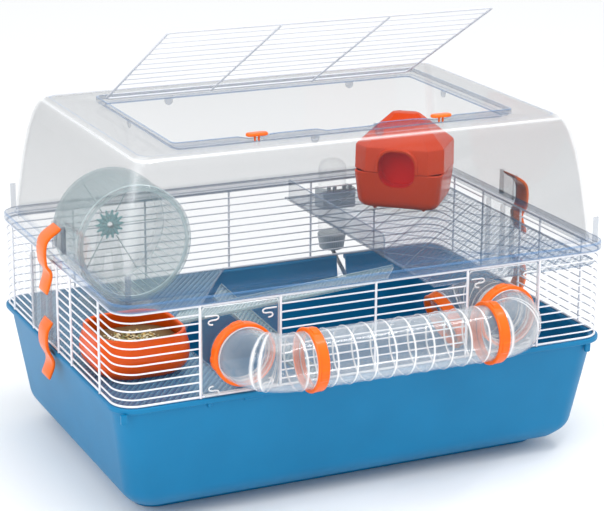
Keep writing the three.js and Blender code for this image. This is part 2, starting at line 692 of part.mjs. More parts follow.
// A strip of even thickness that follows a smooth line through the points.
function ribbonShape(points, thick) {
  const curve = new THREE.SplineCurve(points.map(([x, y]) => new THREE.Vector2(x, y)));
  const steps = 12;
  const side = (offset) => Array.from({ length: steps + 1 }, (_, i) => {
    const tangent = curve.getTangent(i / steps);
    const point = curve.getPoint(i / steps);
    return new THREE.Vector2(point.x - tangent.y * offset, point.y + tangent.x * offset);
  });
  return new THREE.Shape([...side(thick / 2), ...side(-thick / 2).reverse()]);
}

// The clips hug the outside of the rim or ring that they lock.
const clipClear = rimHalf.x + CLIP_THICK / 2 + GAP;
const upperClipLine = [
  [canopyEdge.x - CANOPY_STEP + 5, skirtTop + 35], [clipClear + 5, skirtTop + 18], [clipClear + 7, flangeZ],
  [clipClear, ringHigh - 14], [clipClear + 7, ringHigh - 40],
];
const lowerClipLine = [
  [clipClear + 0.5, ringLow + 41], [clipClear + 9, ringLow + 26], [clipClear + 8, ringLow + 4],
  [clipClear, TRAY_HEIGHT - RIM_THICK - 8], [clipClear + 7, TRAY_HEIGHT - 37],
];
for (const [name, side] of [['left', -1], ['right', 1]]) {
  for (const [level, line] of [['upper', upperClipLine], ['lower', lowerClipLine]]) {
    const shape = ribbonShape(line.map(([x, z]) => [side * x, z]), CLIP_THICK);
    piece(`clip_${level}_${name}`, upright(shape, CLIP_WIDTH), orange).position.y = CLIP_Y;
  }
  const bracket = piece(`clip_bracket_${name}`, clipBracket(), clear);
  bracket.position.y = CLIP_Y;
  bracket.rotation.z = side < 0 ? Math.PI : 0;
}

// ---------- wire lid, standing open ----------
const hingeY = OPENING_Y + OPENING_HALF_Y - 8;
const hingeZ = roofZ + 3;
function lidGeometry() {
  const halfX = OPENING_HALF_X - LID_SIDE_GAP;
  const depth = hingeY - (OPENING_Y - OPENING_HALF_Y) - LID_END_GAP;
  const bar = (x0, x1, y0, y1, thick) => box([x0, y0, -thick / 2], [x1, y1, thick / 2]);
  const along = (y, thick) => bar(-halfX, halfX, y - thick / 2, y + thick / 2, thick);
  const across = (x, thick) => bar(x - thick / 2, x + thick / 2, -depth, 0, thick);
  const rows = Array.from({ length: LID_ROWS }, (_, i) =>
    along(-depth * (i + 1) / (LID_ROWS + 1), LID_THIN_WIRE));
  const sides = [-halfX + LID_WIRE / 2, -halfX / 3, halfX / 3, halfX - LID_WIRE / 2];
  return join(along(-LID_WIRE / 2, LID_WIRE), along(LID_WIRE / 2 - depth, LID_WIRE),
    ...sides.map((x) => across(x, LID_WIRE)), ...rows);
}
const lid = piece('lid', lidGeometry(), white);
lid.position.set(0, hingeY, hingeZ);
lid.rotation.x = -LID_OPEN * Math.PI / 180;

// ---------- latches on the front of the opening ----------
function latchGeometry() {
  const end = LATCH_WIDTH / 2;
  const shape = new THREE.Shape();
  shape.absarc(LATCH_LENGTH / 2 - end, 0, end, -Math.PI / 2, Math.PI / 2);
  shape.absarc(end - LATCH_LENGTH / 2, 0, end, Math.PI / 2, Math.PI * 1.5);
  const stem = new THREE.CylinderGeometry(2.5, 2.5, OPENING_RIM + 1, 12).rotateX(Math.PI / 2);
  return join(plate(shape, LATCH_THICK), stem.translate(0, 0, (1 - OPENING_RIM) / 2));
}
const latchY = OPENING_Y - OPENING_HALF_Y - CANOPY_WALL - 5;
['left', 'right'].forEach((name, i) => {
  const latch = piece(`latch_${name}`, latchGeometry(), orange);
  latch.position.set(LATCH_X[i], latchY, roofZ + OPENING_RIM + 2 * GAP);
});

// ---------- water bottle behind the back wall ----------
const bottleY = outsideY + RING_WIRE + BOTTLE_RADIUS + 4;
const bottleBase = ringLow + BOTTLE_BOTTOM;
function bottleGeometry() {
  const r = BOTTLE_RADIUS;
  const top = BOTTLE_HEIGHT;
  const profile = [[0, 0], [r - 5, 0], [r, 4], [r, top - 6], [r - 6, top], [0, top]];
  const turned = new THREE.LatheGeometry(profile.map(([x, y]) => new THREE.Vector2(x, y)), 20);
  return turned.rotateX(Math.PI / 2);
}

// The cap and nozzle: the steel spout leans in through the tray's notch.
function nozzleGeometry() {
  const start = new THREE.Vector3(0, 0, -CAP_HEIGHT - 2 * GAP);
  const tipZ = TRAY_HEIGHT - NOZZLE_REACH - bottleBase;
  const end = new THREE.Vector3(0, rimHalf.y - NOZZLE_REACH - bottleY, tipZ);
  const length = start.distanceTo(end);
  const lean = end.clone().sub(start).normalize();
  const turn = new THREE.Quaternion().setFromUnitVectors(new THREE.Vector3(0, 1, 0), lean);
  const spout = new THREE.CylinderGeometry(NOZZLE_RADIUS, NOZZLE_RADIUS, length, 12);
  spout.translate(0, length / 2, 0).applyQuaternion(turn).translate(0, 0, start.z);
  return keep(spout, box([-50, -100, -200], [50, 100, start.z]));
}

function bracketGeometry() {
  const half = BOTTLE_RADIUS + RUNNING_GAP;
  const low = -bottleY + outsideY + RING_WIRE / 2 + 2 * GAP;
  const top = STRAP_LOW + STRAP_HEIGHT;
  const body = box([-half - 5, low, STRAP_LOW], [half + 5, BOTTLE_RADIUS - 6, top]);
  const hole = new THREE.CylinderGeometry(half, half, 2 * STRAP_HEIGHT, 24).rotateX(Math.PI / 2);
  hole.translate(0, 0, STRAP_LOW + STRAP_HEIGHT / 2);
  return cut(body, hole, box([-half, 0, STRAP_LOW - 5], [half, BOTTLE_RADIUS, top + 5]));
}
const bottleGroup = new THREE.Group();
bottleGroup.position.set(BOTTLE_X, bottleY, bottleBase);
cage.add(bottleGroup);
piece('bottle', bottleGeometry(), clear, bottleGroup);
const cap = new THREE.CylinderGeometry(BOTTLE_RADIUS, BOTTLE_RADIUS - 3, CAP_HEIGHT, 20);
piece('bottle_cap', cap.rotateX(Math.PI / 2), grey, bottleGroup).position.z = -CAP_HEIGHT / 2 - GAP;
piece('bottle_nozzle', nozzleGeometry(), steel, bottleGroup);
piece('bottle_bracket', bracketGeometry(), grey, bottleGroup);

// ---------- house: a lower tub and an upper hood, meeting at a seam through the door ----------
const houseBase = platformTop + PEG_HEIGHT + GAP;
function houseLoop(inset, z) {
  return roundLoop(HOUSE_HALF_WIDTH - inset, HOUSE_HALF_DEPTH - inset, 16, z, 0, 2);
}

function houseDoor() {
  const length = 2 * HOUSE_HALF_DEPTH;
  const hole = new THREE.CylinderGeometry(DOOR_RADIUS, DOOR_RADIUS, length, 24);
  return hole.translate(0, -length / 2 - 12, DOOR_RISE);
}

function houseLower() {
  const w = HOUSE_WALL;
  const tub = loft([
    houseLoop(17, 0), houseLoop(4, 12), houseLoop(0, HOUSE_SEAM),
    houseLoop(w, HOUSE_SEAM), houseLoop(4 + w, 12 + w), houseLoop(18, w),
  ], false);
  const peg = (x, y) => new THREE.CylinderGeometry(3, 3, PEG_HEIGHT + 1, 8)
    .rotateX(Math.PI / 2).translate(x * PEG_X, y * PEG_Y, (1 - PEG_HEIGHT) / 2);
  return cut(join(tub, peg(1, 1), peg(-1, 1), peg(-1, -1), peg(1, -1)), houseDoor());
}

function houseUpper() {
  const w = HOUSE_WALL;
  const base = HOUSE_SEAM + GAP;
  const top = HOUSE_HEIGHT;
  const hood = loft([
    houseLoop(w, base), houseLoop(0, base), houseLoop(1, top - HOOD_SHOULDER),
    houseLoop(8, top - HOOD_EAVE), houseLoop(HOOD_SLOPE, top), houseLoop(HOOD_SLOPE, top - w),
    houseLoop(8 + w, top - HOOD_EAVE - 1), houseLoop(1 + w, top - HOOD_SHOULDER - 1),
  ], true);
  const roof = loft([houseLoop(25, top - w), houseLoop(25, top)], false);
  return cut(join(hood, roof), houseDoor());
}
const house = new THREE.Group();
house.position.set(HOUSE_X, HOUSE_Y, houseBase);
house.rotation.z = HOUSE_TURN * Math.PI / 180;
cage.add(house);
piece('house_lower', houseLower(), brick, house);
piece('house_upper', houseUpper(), brick, house);

export default cage;
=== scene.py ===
"""Hamster cage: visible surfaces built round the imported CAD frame.

Metres, +Z up, +X along the long front side.
"""
import math

import bmesh
import bpy
import numpy as np
from mathutils import Matrix, Vector


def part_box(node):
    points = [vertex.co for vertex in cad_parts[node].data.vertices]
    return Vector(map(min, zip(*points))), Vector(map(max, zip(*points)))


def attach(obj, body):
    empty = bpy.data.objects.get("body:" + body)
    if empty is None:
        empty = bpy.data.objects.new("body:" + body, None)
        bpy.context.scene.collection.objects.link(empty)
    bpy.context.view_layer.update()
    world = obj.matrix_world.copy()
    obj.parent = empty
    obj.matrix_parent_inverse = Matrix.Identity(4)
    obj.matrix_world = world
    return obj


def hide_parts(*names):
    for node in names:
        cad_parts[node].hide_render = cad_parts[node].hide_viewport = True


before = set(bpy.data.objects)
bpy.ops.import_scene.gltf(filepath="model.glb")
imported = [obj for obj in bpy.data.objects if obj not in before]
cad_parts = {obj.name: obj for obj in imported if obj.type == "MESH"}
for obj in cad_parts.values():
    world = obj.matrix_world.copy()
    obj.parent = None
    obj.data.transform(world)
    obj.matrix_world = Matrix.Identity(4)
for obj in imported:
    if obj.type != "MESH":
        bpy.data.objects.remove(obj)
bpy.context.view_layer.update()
MM = 0.001

# ---------------------------------------------------------------- studio
# A pale floor in a bright even room. Softboxes stand high on the left, overhead and on the right, and a
# strip light hangs above the front. The camera looks down from the front left through a long lens.
CAMERA_AIM = Vector((0.0067, -0.0039, 0.2636))
CAMERA_DISTANCE = 2.84
CAMERA_YAW = math.radians(24.77)
CAMERA_PITCH = math.radians(17.08)
CAMERA_ROLL = math.radians(0.40)


def turned(yaw, pitch, roll=0.0):
    """Rotation that looks along +Y, turned right by yaw, down by pitch, then rolled about the view line."""
    look = Matrix.Rotation(-yaw, 3, "Z") @ Matrix.Rotation(math.pi / 2 - pitch, 3, "X")
    return look @ Matrix.Rotation(roll, 3, "Z")


camera_data = bpy.data.cameras.new("camera")
camera_data.lens = 121.0
camera_data.sensor_width = 36.0
camera = bpy.data.objects.new("camera", camera_data)
camera_turn = turned(CAMERA_YAW, CAMERA_PITCH, CAMERA_ROLL)
camera.matrix_world = camera_turn.to_4x4()
camera.location = CAMERA_AIM + camera_turn @ Vector((0, 0, CAMERA_DISTANCE))
bpy.context.collection.objects.link(camera)
bpy.context.scene.camera = camera
bpy.context.scene.view_settings.view_transform = "Standard"

world = bpy.data.worlds.new("room")
bpy.context.scene.world = world
world.use_nodes = True
world.node_tree.nodes["Background"].inputs["Color"].default_value = (0.97, 0.985, 1.0, 1.0)
world.node_tree.nodes["Background"].inputs["Strength"].default_value = 1.02


def softbox(name, place, aim, size, watts):
    """A square area light at place that faces aim."""
    data = bpy.data.lights.new(name, "AREA")
    data.shape = "RECTANGLE"
    data.size, data.size_y = size
    data.energy = watts
    light = bpy.data.objects.new(name, data)
    light.location = place
    light.rotation_euler = (Vector(aim) - Vector(place)).to_track_quat("-Z", "Y").to_euler()
    bpy.context.collection.objects.link(light)


softbox("softbox_left", (-2.2, -1.2, 1.7), (0, 0, 0.25), (1.6, 1.6), 20)
softbox("softbox_top", (0.1, -0.5, 2.6), (0, 0, 0.3), (2.2, 1.2), 14)
softbox("softbox_right", (2.4, -1.4, 1.2), (0, 0, 0.2), (1.2, 1.6), 5)
softbox("striplight_above_front", (0.55, -0.95, 2.4), (0, -0.2, 0.25), (2.4, 0.18), 15)


# ---------------------------------------------------------------- colour, nodes and mesh helpers
def linear(hex_colour):
    """An sRGB hex colour as linear red, green, blue and alpha 1."""
    parts = [int(hex_colour[i:i + 2], 16) / 255 for i in (1, 3, 5)]
    return tuple(c / 12.92 if c <= 0.04045 else ((c + 0.055) / 1.055) ** 2.4 for c in parts) + (1.0,)


def add_node(tree, kind, values=None, links=None, **settings):
    """Adds one node. Values go on its inputs, links join other nodes' outputs to them, and settings are
    the node's own fields."""
    made = tree.nodes.new(kind)
    for key, value in settings.items():
        setattr(made, key, value)
    for key, value in (values or {}).items():
        made.inputs[key].default_value = value
    for key, socket in (links or {}).items():
        tree.links.new(socket, made.inputs[key])
    return made


def blank_material(name):
    """A new material with its node tree, its Principled shader and its Object coordinates."""
    made = bpy.data.materials.new(name)
    made.use_nodes = True
    tree = made.node_tree
    return made, tree, tree.nodes["Principled BSDF"], add_node(tree, "ShaderNodeTexCoord").outputs["Object"]


def moulded(name, colour, pale, roughness, grain_mm=0.6, relief_mm=0.03, ior=1.49, coat=0.0):
    """Opaque moulded plastic: colour drifts slowly towards pale, and a fine eroded grain gives bump."""
    made, tree, shader, place = blank_material(name)
    drift = add_node(tree, "ShaderNodeTexNoise", {"Scale": 9.0, "Detail": 3.0}, {"Vector": place})
    ramp = add_node(tree, "ShaderNodeValToRGB", None, {"Fac": drift.outputs["Fac"]})
    start, end = ramp.color_ramp.elements
    start.position, end.position = 0.3, 0.75
    start.color, end.color = linear(colour), linear(pale)
    tree.links.new(ramp.outputs["Color"], shader.inputs["Base Color"])
    grain = add_node(tree, "ShaderNodeTexNoise", {"Scale": 1 / (grain_mm * MM), "Detail": 2.0},
                     {"Vector": place})
    spread = add_node(tree, "ShaderNodeMapRange", {"To Min": roughness - 0.05, "To Max": roughness + 0.07},
                      {"Value": grain.outputs["Fac"]})
    tree.links.new(spread.outputs["Result"], shader.inputs["Roughness"])
    bump = add_node(tree, "ShaderNodeBump", {"Strength": 0.35, "Distance": relief_mm * MM},
                    {"Height": grain.outputs["Fac"]})
    tree.links.new(bump.outputs["Normal"], shader.inputs["Normal"])
    shader.inputs["IOR"].default_value = ior
    shader.inputs["Coat Weight"].default_value = coat
    return made


def clear_moulded(name, colour, facing, grazing, roughness=0.05, ior=2.3, marks=()):
    """Clear moulded plastic. Cover rises from facing to grazing with the angle of view. Each mark is an
    attribute with a colour and a cover that take over where it is set. Most stand for plastic that is thick,
    folded or frosted; the canopy's glint and the tube's white rings are painted highlights."""
    made, tree, shader, place = blank_material(name)
    shader.inputs["IOR"].default_value = ior
    shader.inputs["Coat Weight"].default_value = 1.0
    turn = add_node(tree, "ShaderNodeLayerWeight", {"Blend": 0.3})
    cover = add_node(tree, "ShaderNodeMapRange", {"To Min": facing, "To Max": grazing},
                     {"Value": turn.outputs["Facing"]})
    cloud = add_node(tree, "ShaderNodeTexNoise", {"Scale": 6.0, "Detail": 2.0}, {"Vector": place})
    tone = add_node(tree, "ShaderNodeValToRGB", None, {"Fac": cloud.outputs["Fac"]})
    dark = [0.88 * c for c in linear(colour)[:3]] + [1.0]
    tone.color_ramp.elements[0].color, tone.color_ramp.elements[1].color = dark, linear(colour)
    alpha, paint = cover.outputs["Result"], tone.outputs["Color"]
    for attribute, tint, most in marks:
        mark = add_node(tree, "ShaderNodeAttribute", attribute_name=attribute).outputs["Fac"]
        share = add_node(tree, "ShaderNodeMath", {1: most}, {0: mark}, operation="MULTIPLY").outputs[0]
        alpha = add_node(tree, "ShaderNodeMath", None, {0: alpha, 1: share}, operation="MAXIMUM").outputs[0]
        paint = add_node(tree, "ShaderNodeMixRGB", {"Color2": linear(tint)},
                         {"Fac": mark, "Color1": paint}).outputs[0]
    tree.links.new(alpha, shader.inputs["Alpha"])
    tree.links.new(paint, shader.inputs["Base Color"])
    smear = add_node(tree, "ShaderNodeTexNoise", {"Scale": 35.0, "Detail": 4.0}, {"Vector": place})
    spread = add_node(tree, "ShaderNodeMapRange", {"To Min": roughness, "To Max": roughness + 0.08},
                      {"Value": smear.outputs["Fac"]})
    tree.links.new(spread.outputs["Result"], shader.inputs["Roughness"])
    flow = add_node(tree, "ShaderNodeTexNoise", {"Scale": 14.0, "Detail": 1.0}, {"Vector": place})
    bump = add_node(tree, "ShaderNodeBump", {"Strength": 0.2, "Distance": 0.3 * MM},
                    {"Height": flow.outputs["Fac"]})
    tree.links.new(bump.outputs["Normal"], shader.inputs["Normal"])
    return made


def mark(made, name, values):
    """Stores one number for each vertex of a piece, which its material reads by name."""
    layer = made.data.attributes.new(name, "FLOAT", "POINT")
    layer.data.foreach_set("value", np.asarray(values, dtype=np.float32))


def low(node):
    """Lowest corner of a CAD node as an array."""
    return np.array(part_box(node)[0])


def high(node):
    """Highest corner of a CAD node as an array."""
    return np.array(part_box(node)[1])


def middle(node):
    """Middle of a CAD node's box."""
    return (low(node) + high(node)) / 2


def merged(parts):
    """Joins (vertices, faces) parts into one list of each, with the face numbers moved up."""
    vertices, faces, start = [], [], 0
    for points, polygons in parts:
        vertices.append(np.asarray(points, dtype=float).reshape(-1, 3))
        faces.extend([tuple(i + start for i in polygon) for polygon in polygons])
        start += len(vertices[-1])
    return np.concatenate(vertices), faces


def face_outward(mesh):
    """Turns every face of each closed shell outward."""
    shell = bmesh.new()
    shell.from_mesh(mesh)
    bmesh.ops.recalc_face_normals(shell, faces=shell.faces)
    shell.to_mesh(mesh)
    shell.free()


def piece(name, part, finish, body, nodes=(), sharp=0.7):
    """Makes the named mesh from (vertices, faces) and gives it its finish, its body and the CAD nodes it
    replaces."""
    vertices, faces = part
    mesh = bpy.data.meshes.new(name)
    mesh.from_pydata(np.asarray(vertices).tolist(), [], faces)
    face_outward(mesh)
    mesh.shade_smooth()
    mesh.set_sharp_from_angle(angle=sharp)
    mesh.materials.append(finish)
    made = bpy.data.objects.new(name, mesh)
    bpy.context.collection.objects.link(made)
    if body:
        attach(made, body)
    if nodes:
        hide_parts(*nodes)
    return made


def grid_faces(rows, columns, wrap_rows=False, wrap_columns=True):
    """Quads of a grid of points: each joins a point, the next along its row and the two in the next row."""
    r = np.arange(rows if wrap_rows else rows - 1)[:, None]
    c = np.arange(columns if wrap_columns else columns - 1)[None, :]
    below, beside = (r + 1) % rows, (c + 1) % columns
    quads = np.stack([r * columns + c, r * columns + beside, below * columns + beside, below * columns + c],
                     axis=-1)
    return [tuple(q) for q in quads.reshape(-1, 4).tolist()]


def round_loop(half_x, half_y, radius, z, centre=(0.0, 0.0), steps=10, spans=1):
    """Rounded rectangle: four quarter circles of the radius whose centres sit radius inside the corners.
    The straight sides between them are split into spans."""
    side_x, side_y = np.array([1, -1, -1, 1]), np.array([1, 1, -1, -1])
    points = []
    for k in range(4):
        turn = (k + np.linspace(0, 1, steps + 1)) * np.pi / 2
        middle_x, middle_y = side_x[k] * (half_x - radius), side_y[k] * (half_y - radius)
        points.append(np.column_stack([middle_x + radius * np.cos(turn), middle_y + radius * np.sin(turn)]))
    out = []
    for arc, following in zip(points, points[1:] + points[:1]):
        t = np.linspace(0, 1, spans + 1)[1:-1, None]
        out += [arc, (1 - t) * arc[-1] + t * following[0]]
    flat = np.concatenate(out) + centre
    return np.column_stack([flat, np.full(len(flat), float(z))])


def loft(loops, wraps=False):
    """Skin over equal loops stacked in order. A wrapped skin closes on itself, an open one has flat ends."""
    count = len(loops[0])
    faces = grid_faces(len(loops), count, wrap_rows=wraps)
    if not wraps:
        faces.append(tuple(range(count))[::-1])
        faces.append(tuple(range((len(loops) - 1) * count, len(loops) * count)))
    return np.concatenate(loops), faces


def filleted(profile, radii, steps=5):
    """A polyline whose corners become quadratic curves that start and end a radius from the corner."""
    points = [np.asarray(p, dtype=float) for p in profile]
    out = [points[0]]
    for before, here, after, radius in zip(points, points[1:], points[2:], radii):
        back, on = before - here, after - here
        reach = min(radius, 0.49 * np.linalg.norm(back), 0.49 * np.linalg.norm(on))
        start = here + back / np.linalg.norm(back) * reach
        end = here + on / np.linalg.norm(on) * reach
        t = np.linspace(0, 1, steps)[:, None]
        out.extend((1 - t) ** 2 * start + 2 * t * (1 - t) * here + t ** 2 * end)
    out.append(points[-1])
    return np.array(out)


# The floor is matt white card, so that only the soft shadow under the tray shows.
floor_finish, _, floor_shader, _ = blank_material("studio_white_card")
floor_shader.inputs["Base Color"].default_value = (0.93, 0.93, 0.93, 1.0)
floor_shader.inputs["Roughness"].default_value = 0.9
FLOOR_REACH = 12.0
floor_corners = [(x * FLOOR_REACH, y * FLOOR_REACH, 0.0) for x, y in ((-1, -1), (1, -1), (1, 1), (-1, 1))]
floor = piece("studio_floor", (floor_corners, [(0, 1, 2, 3)]), floor_finish, None)

# ---------------------------------------------------------------- tray
# Sky blue polypropylene tub, injection moulded with a rolled rim, thin leaning walls and a stepped plinth.
# A satin spark-eroded mould gives a soft sheen; small bosses stand under the front of the rim.
tray_high = high("tray")
rim_half = tray_high[:2]
rim_z = tray_high[2]
RIM_PROUD = 6.5 * MM
tray_finish = moulded("polypropylene_blue_satin_moulded", "#00709f", "#0679aa", 0.4, ior=1.34)
tray_profile = filleted(
    [(70, 0), (51, 0), (48, 20), (36, 20), (20, 36), (0, 166), (-6.5, 166), (-6.5, 173),
     (4, 173), (4, 166), (23, 36), (38, 23), (51, 23), (54, 3), (70, 3)],
    [3, 3, 3, 14, 12, 2, 1.5, 4, 2, 2, 12, 10, 3, 3]) * MM
FOOT_EXTRA = np.array([0.0, 21.0]) * MM


def tray_loop(inset, z):
    """Tray section: the wall line under the rim moved in by inset; its corner tightens as it moves in.
    Past the floor's edge the front and back step in further, down to the narrower plinth."""
    share = min(max((inset - 36 * MM) / (12 * MM), 0), 1)
    half = rim_half - RIM_PROUD - inset - share * FOOT_EXTRA
    return round_loop(half[0], half[1], max(34 * MM - 0.1 * inset, 24 * MM), z, steps=12)


tray_loops = [tray_loop(inset, z * rim_z / (173 * MM)) for inset, z in tray_profile]
tray = piece("tray_shell", loft(tray_loops), tray_finish, "tray", ["tray"], sharp=0.6)
notch_low, notch_high = np.array([178, 189, 137]) * MM, np.array([194, 254, 178]) * MM
notch = bpy.data.meshes.new("notch_cutter")
corner = np.array([[x, y, z] for z in (0, 1) for y in (0, 1) for x in (0, 1)])
notch.from_pydata((notch_low + corner * (notch_high - notch_low)).tolist(), [],
                  [(0, 2, 3, 1), (4, 5, 7, 6), (0, 1, 5, 4), (2, 6, 7, 3), (0, 4, 6, 2), (1, 3, 7, 5)])
notch_tool = bpy.data.objects.new("notch_cutter", notch)
bpy.context.collection.objects.link(notch_tool)


def cut_out(target, tool):
    """Cuts the tool's shape out of the target for good and removes the tool."""
    cut = target.modifiers.new("cut", "BOOLEAN")
    cut.operation, cut.object, cut.solver = "DIFFERENCE", tool, "EXACT"
    with bpy.context.temp_override(object=target, active_object=target):
        bpy.ops.object.modifier_apply(modifier=cut.name)
    bpy.data.objects.remove(tool)


cut_out(tray, notch_tool)

# ---------------------------------------------------------------- wire band
# Drawn steel wire, resistance welded, then coated with white baked enamel that softens every joint.
# Thin wires run level round the band; thicker uprights stand outside them between two thick rings.
enamel = moulded("steel_wire_white_enamelled", "#dfe1e8", "#ecedf2", 0.3, grain_mm=1.2, relief_mm=0.05,
                 coat=0.3)
RING_WIRE, LEVEL_WIRE = 1.6 * MM, 1.1 * MM
ring_low_z = low("grille_front")[2] + RING_WIRE
ring_high_z = high("grille_front")[2] - RING_WIRE
ring_half = np.array([high("grille_right")[0] - 2 * RING_WIRE, high("grille_back")[1] - 2 * RING_WIRE])
BAND_CORNER = 30 * MM
front_cuts = [low("port_panel_left")[0], high("port_panel_left")[0], low("port_panel_right")[0],
              high("port_panel_right")[0]]
side_cuts = [low("side_panel_left")[1], high("side_panel_left")[1]]
PANEL_GAP = 2 * MM


def corner_arc(side_x, side_y, start, stop, z):
    """Points round one corner bend of the band, from start to stop in quarter turns."""
    turn = np.linspace(start, stop, 9) * np.pi / 2
    centre = (ring_half - BAND_CORNER) * (side_x, side_y)
    return np.column_stack([centre[0] + BAND_CORNER * np.cos(turn), centre[1] + BAND_CORNER * np.sin(turn),
                            np.full(9, z)])


def wire_tube(path, radius, sides=8, closed=False, up=(0, 0, 1)):
    """Round wire: circles of the radius stand square to the path, laid out sideways and towards up."""
    path = np.asarray(path, dtype=float)
    if closed:
        along = np.roll(path, -1, axis=0) - np.roll(path, 1, axis=0)
    else:
        along = np.gradient(path, axis=0)
    along /= np.linalg.norm(along, axis=1, keepdims=True)
    across = np.cross(np.broadcast_to(up, along.shape), along)
    across /= np.linalg.norm(across, axis=1, keepdims=True)
    rise = np.cross(along, across)
    turn = np.arange(sides) / sides * 2 * np.pi
    circle = np.cos(turn)[None, :, None] * across[:, None] + np.sin(turn)[None, :, None] * rise[:, None]
    points = path[:, None] + radius * circle
    return loft(list(points), wraps=closed)


def band_rows(z):
    """The four stretches that a level wire is cut into by the clear panels."""
    x, y = ring_half
    left_stop, right_stop = side_cuts[0] - PANEL_GAP, side_cuts[1] + PANEL_GAP
    cuts = [front_cuts[0] - PANEL_GAP, front_cuts[1] + PANEL_GAP, front_cuts[2] - PANEL_GAP,
            front_cuts[3] + PANEL_GAP]
    return [
        np.vstack([[-x, left_stop, z], corner_arc(-1, -1, 2, 3, z), [cuts[0], -y, z]]),
        np.array([[cuts[1], -y, z], [cuts[2], -y, z]]),
        np.vstack([[cuts[3], -y, z], corner_arc(1, -1, 3, 4, z), [x, left_stop, z]]),
        np.vstack([[x, right_stop, z], corner_arc(1, 1, 0, 1, z), corner_arc(-1, 1, 1, 2, z),
                   [-x, right_stop, z]]),
    ]


row_z = ring_low_z + 9 * MM + np.arange(10) * (ring_high_z - ring_low_z - 9 * MM) / 10
rows = [wire_tube(path, LEVEL_WIRE) for z in row_z for path in band_rows(z)]
rings = []
for z in (ring_low_z, ring_high_z):
    loop = np.vstack([corner_arc(1, 1, 0, 1, z), corner_arc(-1, 1, 1, 2, z), corner_arc(-1, -1, 2, 3, z),
                      corner_arc(1, -1, 3, 4, z)])
    rings.append(wire_tube(loop, RING_WIRE, 10, closed=True))
upright_half = ring_half + RING_WIRE
front_x = [front_cuts[0] - PANEL_GAP, front_cuts[1] + PANEL_GAP, front_cuts[2] - PANEL_GAP,
           front_cuts[3] + PANEL_GAP, 1 * MM]
back_x = np.array([-245, -134, 0, 136, 245]) * MM
side_y = np.append(np.array([-178, -67, 187]) * MM, [side_cuts[0] - PANEL_GAP, side_cuts[1] + PANEL_GAP])
feet = [(x, -upright_half[1]) for x in front_x] + [(x, upright_half[1]) for x in back_x]
feet += [(side * upright_half[0], y) for side in (-1, 1) for y in side_y]
uprights = [wire_tube([[x, y, ring_low_z - 1 * MM], [x, y, ring_high_z + 1 * MM]], RING_WIRE, 10,
                      up=(1, 0, 0))
            for x, y in feet]
piece("band_wires", merged(rows + rings + uprights), enamel, "band",
      ["grille_front", "grille_right", "grille_back", "grille_left"])
# Small bosses and two corner tabs hang under the front of the rim, where the band's hooks reach in.
bosses = []
for x, half_x, drop in ((-231, 3, 7), (-171, 13, 5), (-346, 4, 13), (329, 4, 13)):
    loops = [round_loop((half_x - inset) * MM, 2.6 * MM - inset * MM, 1.2 * MM, (166.5 - down) * MM,
                        (x * MM, -243.5 * MM), 3)
             for inset, down in ((0, 0), (0, drop - 1.5), (1.2, drop))]
    bosses.append(loft(loops))
piece("tray_bosses", merged(bosses), tray_finish, "tray")

# ---------------------------------------------------------------- canopy
# One clear polystyrene moulding: a folded brim that sits on the band, walls that lean in, and a flat roof
# with an opening. White painted highlights lie on the corner folds and the roof's chamfer; the brim and the
# opening's rim show a blue edge.
# The glint mark paints white highlights onto the canopy.
canopy_finish = clear_moulded("polystyrene_clear_injection_moulded", "#343d47", 0.1, 0.24, ior=1.6,
                              marks=(("painted_glint", "#fbfdff", 0.36), ("fold", "#3f78ac", 0.6)))
brim_half = high("canopy")[:2]
flange_z = low("canopy")[2]
roof_z = high("canopy")[2] - 7 * MM
OPENING_HALF, OPENING_CENTRE = np.array([0.2435, 0.146]), (0.0, -0.014)
LATCH_X = np.array([-133, 132]) * MM
wall_share = np.array([0, 0.08, 0.24, 0.37, 0.5, 0.6, 0.71, 0.79, 0.86, 0.905, 0.945, 0.96, 0.975, 0.985,
                       0.994, 1])
wall_lean = np.interp(wall_share, [0, 0.24, 0.5, 0.71, 0.86, 0.95, 0.985, 1],
                      [0, 4.5, 10, 16, 22.5, 29, 34, 41]) * MM
wall_height = flange_z + 11 * MM + wall_share * (roof_z - flange_z - 11 * MM)


def canopy_row(inset, z, corner=16 * MM):
    """A level line round the canopy, moved in from the brim's edge."""
    return round_loop(brim_half[0] - inset, brim_half[1] - inset, corner, z, steps=8, spans=30)


def opening_row(out, z, wave=0.0):
    """A level line round the opening. Along the front the rim drops by the wave at each latch and in mid
    run. The drop is a sum of smooth steps, each half of one plus a hyperbolic tangent, held at one."""
    row = round_loop(OPENING_HALF[0] + out, OPENING_HALF[1] + out, 8 * MM, z, OPENING_CENTRE, steps=8,
                     spans=30)
    front = row[:, 1] < OPENING_CENTRE[1] - OPENING_HALF[1] + 2 * MM
    drop = np.zeros(len(row))
    for centre, reach in ((LATCH_X[0], 0.021), (LATCH_X[1], 0.021), (-0.001, 0.035)):
        drop += 0.5 * (1 + np.tanh((reach - np.abs(row[:, 0] - centre)) / 0.0015))
    row[:, 2] -= wave * front * np.minimum(drop, 1)
    return row


def brim_rows():
    """The brim from its foot, over a rounded edge, to the foot of the wall."""
    rows = [(0.3, 0, 0.6), (0, 0.6, 1), (0, 2.2, 1), (0, 2.4, 0.6), (0, 8.2, 0.6), (0, 8.6, 1),
            (0.4, 10.2, 1), (1.6, 11, 1), (2.4, 11, 0.5), (2.6, 11, 0.3), (14.4, 11, 0.3),
            (14.8, 11, 0.7), (16, 11.3, 0.7)]
    made = []
    for inset, height, fold in rows:
        corner = 30 * MM if inset < 14 else 16 * MM
        made.append((canopy_row(inset * MM, flange_z + height * MM, corner), fold, 0.0))
    return made


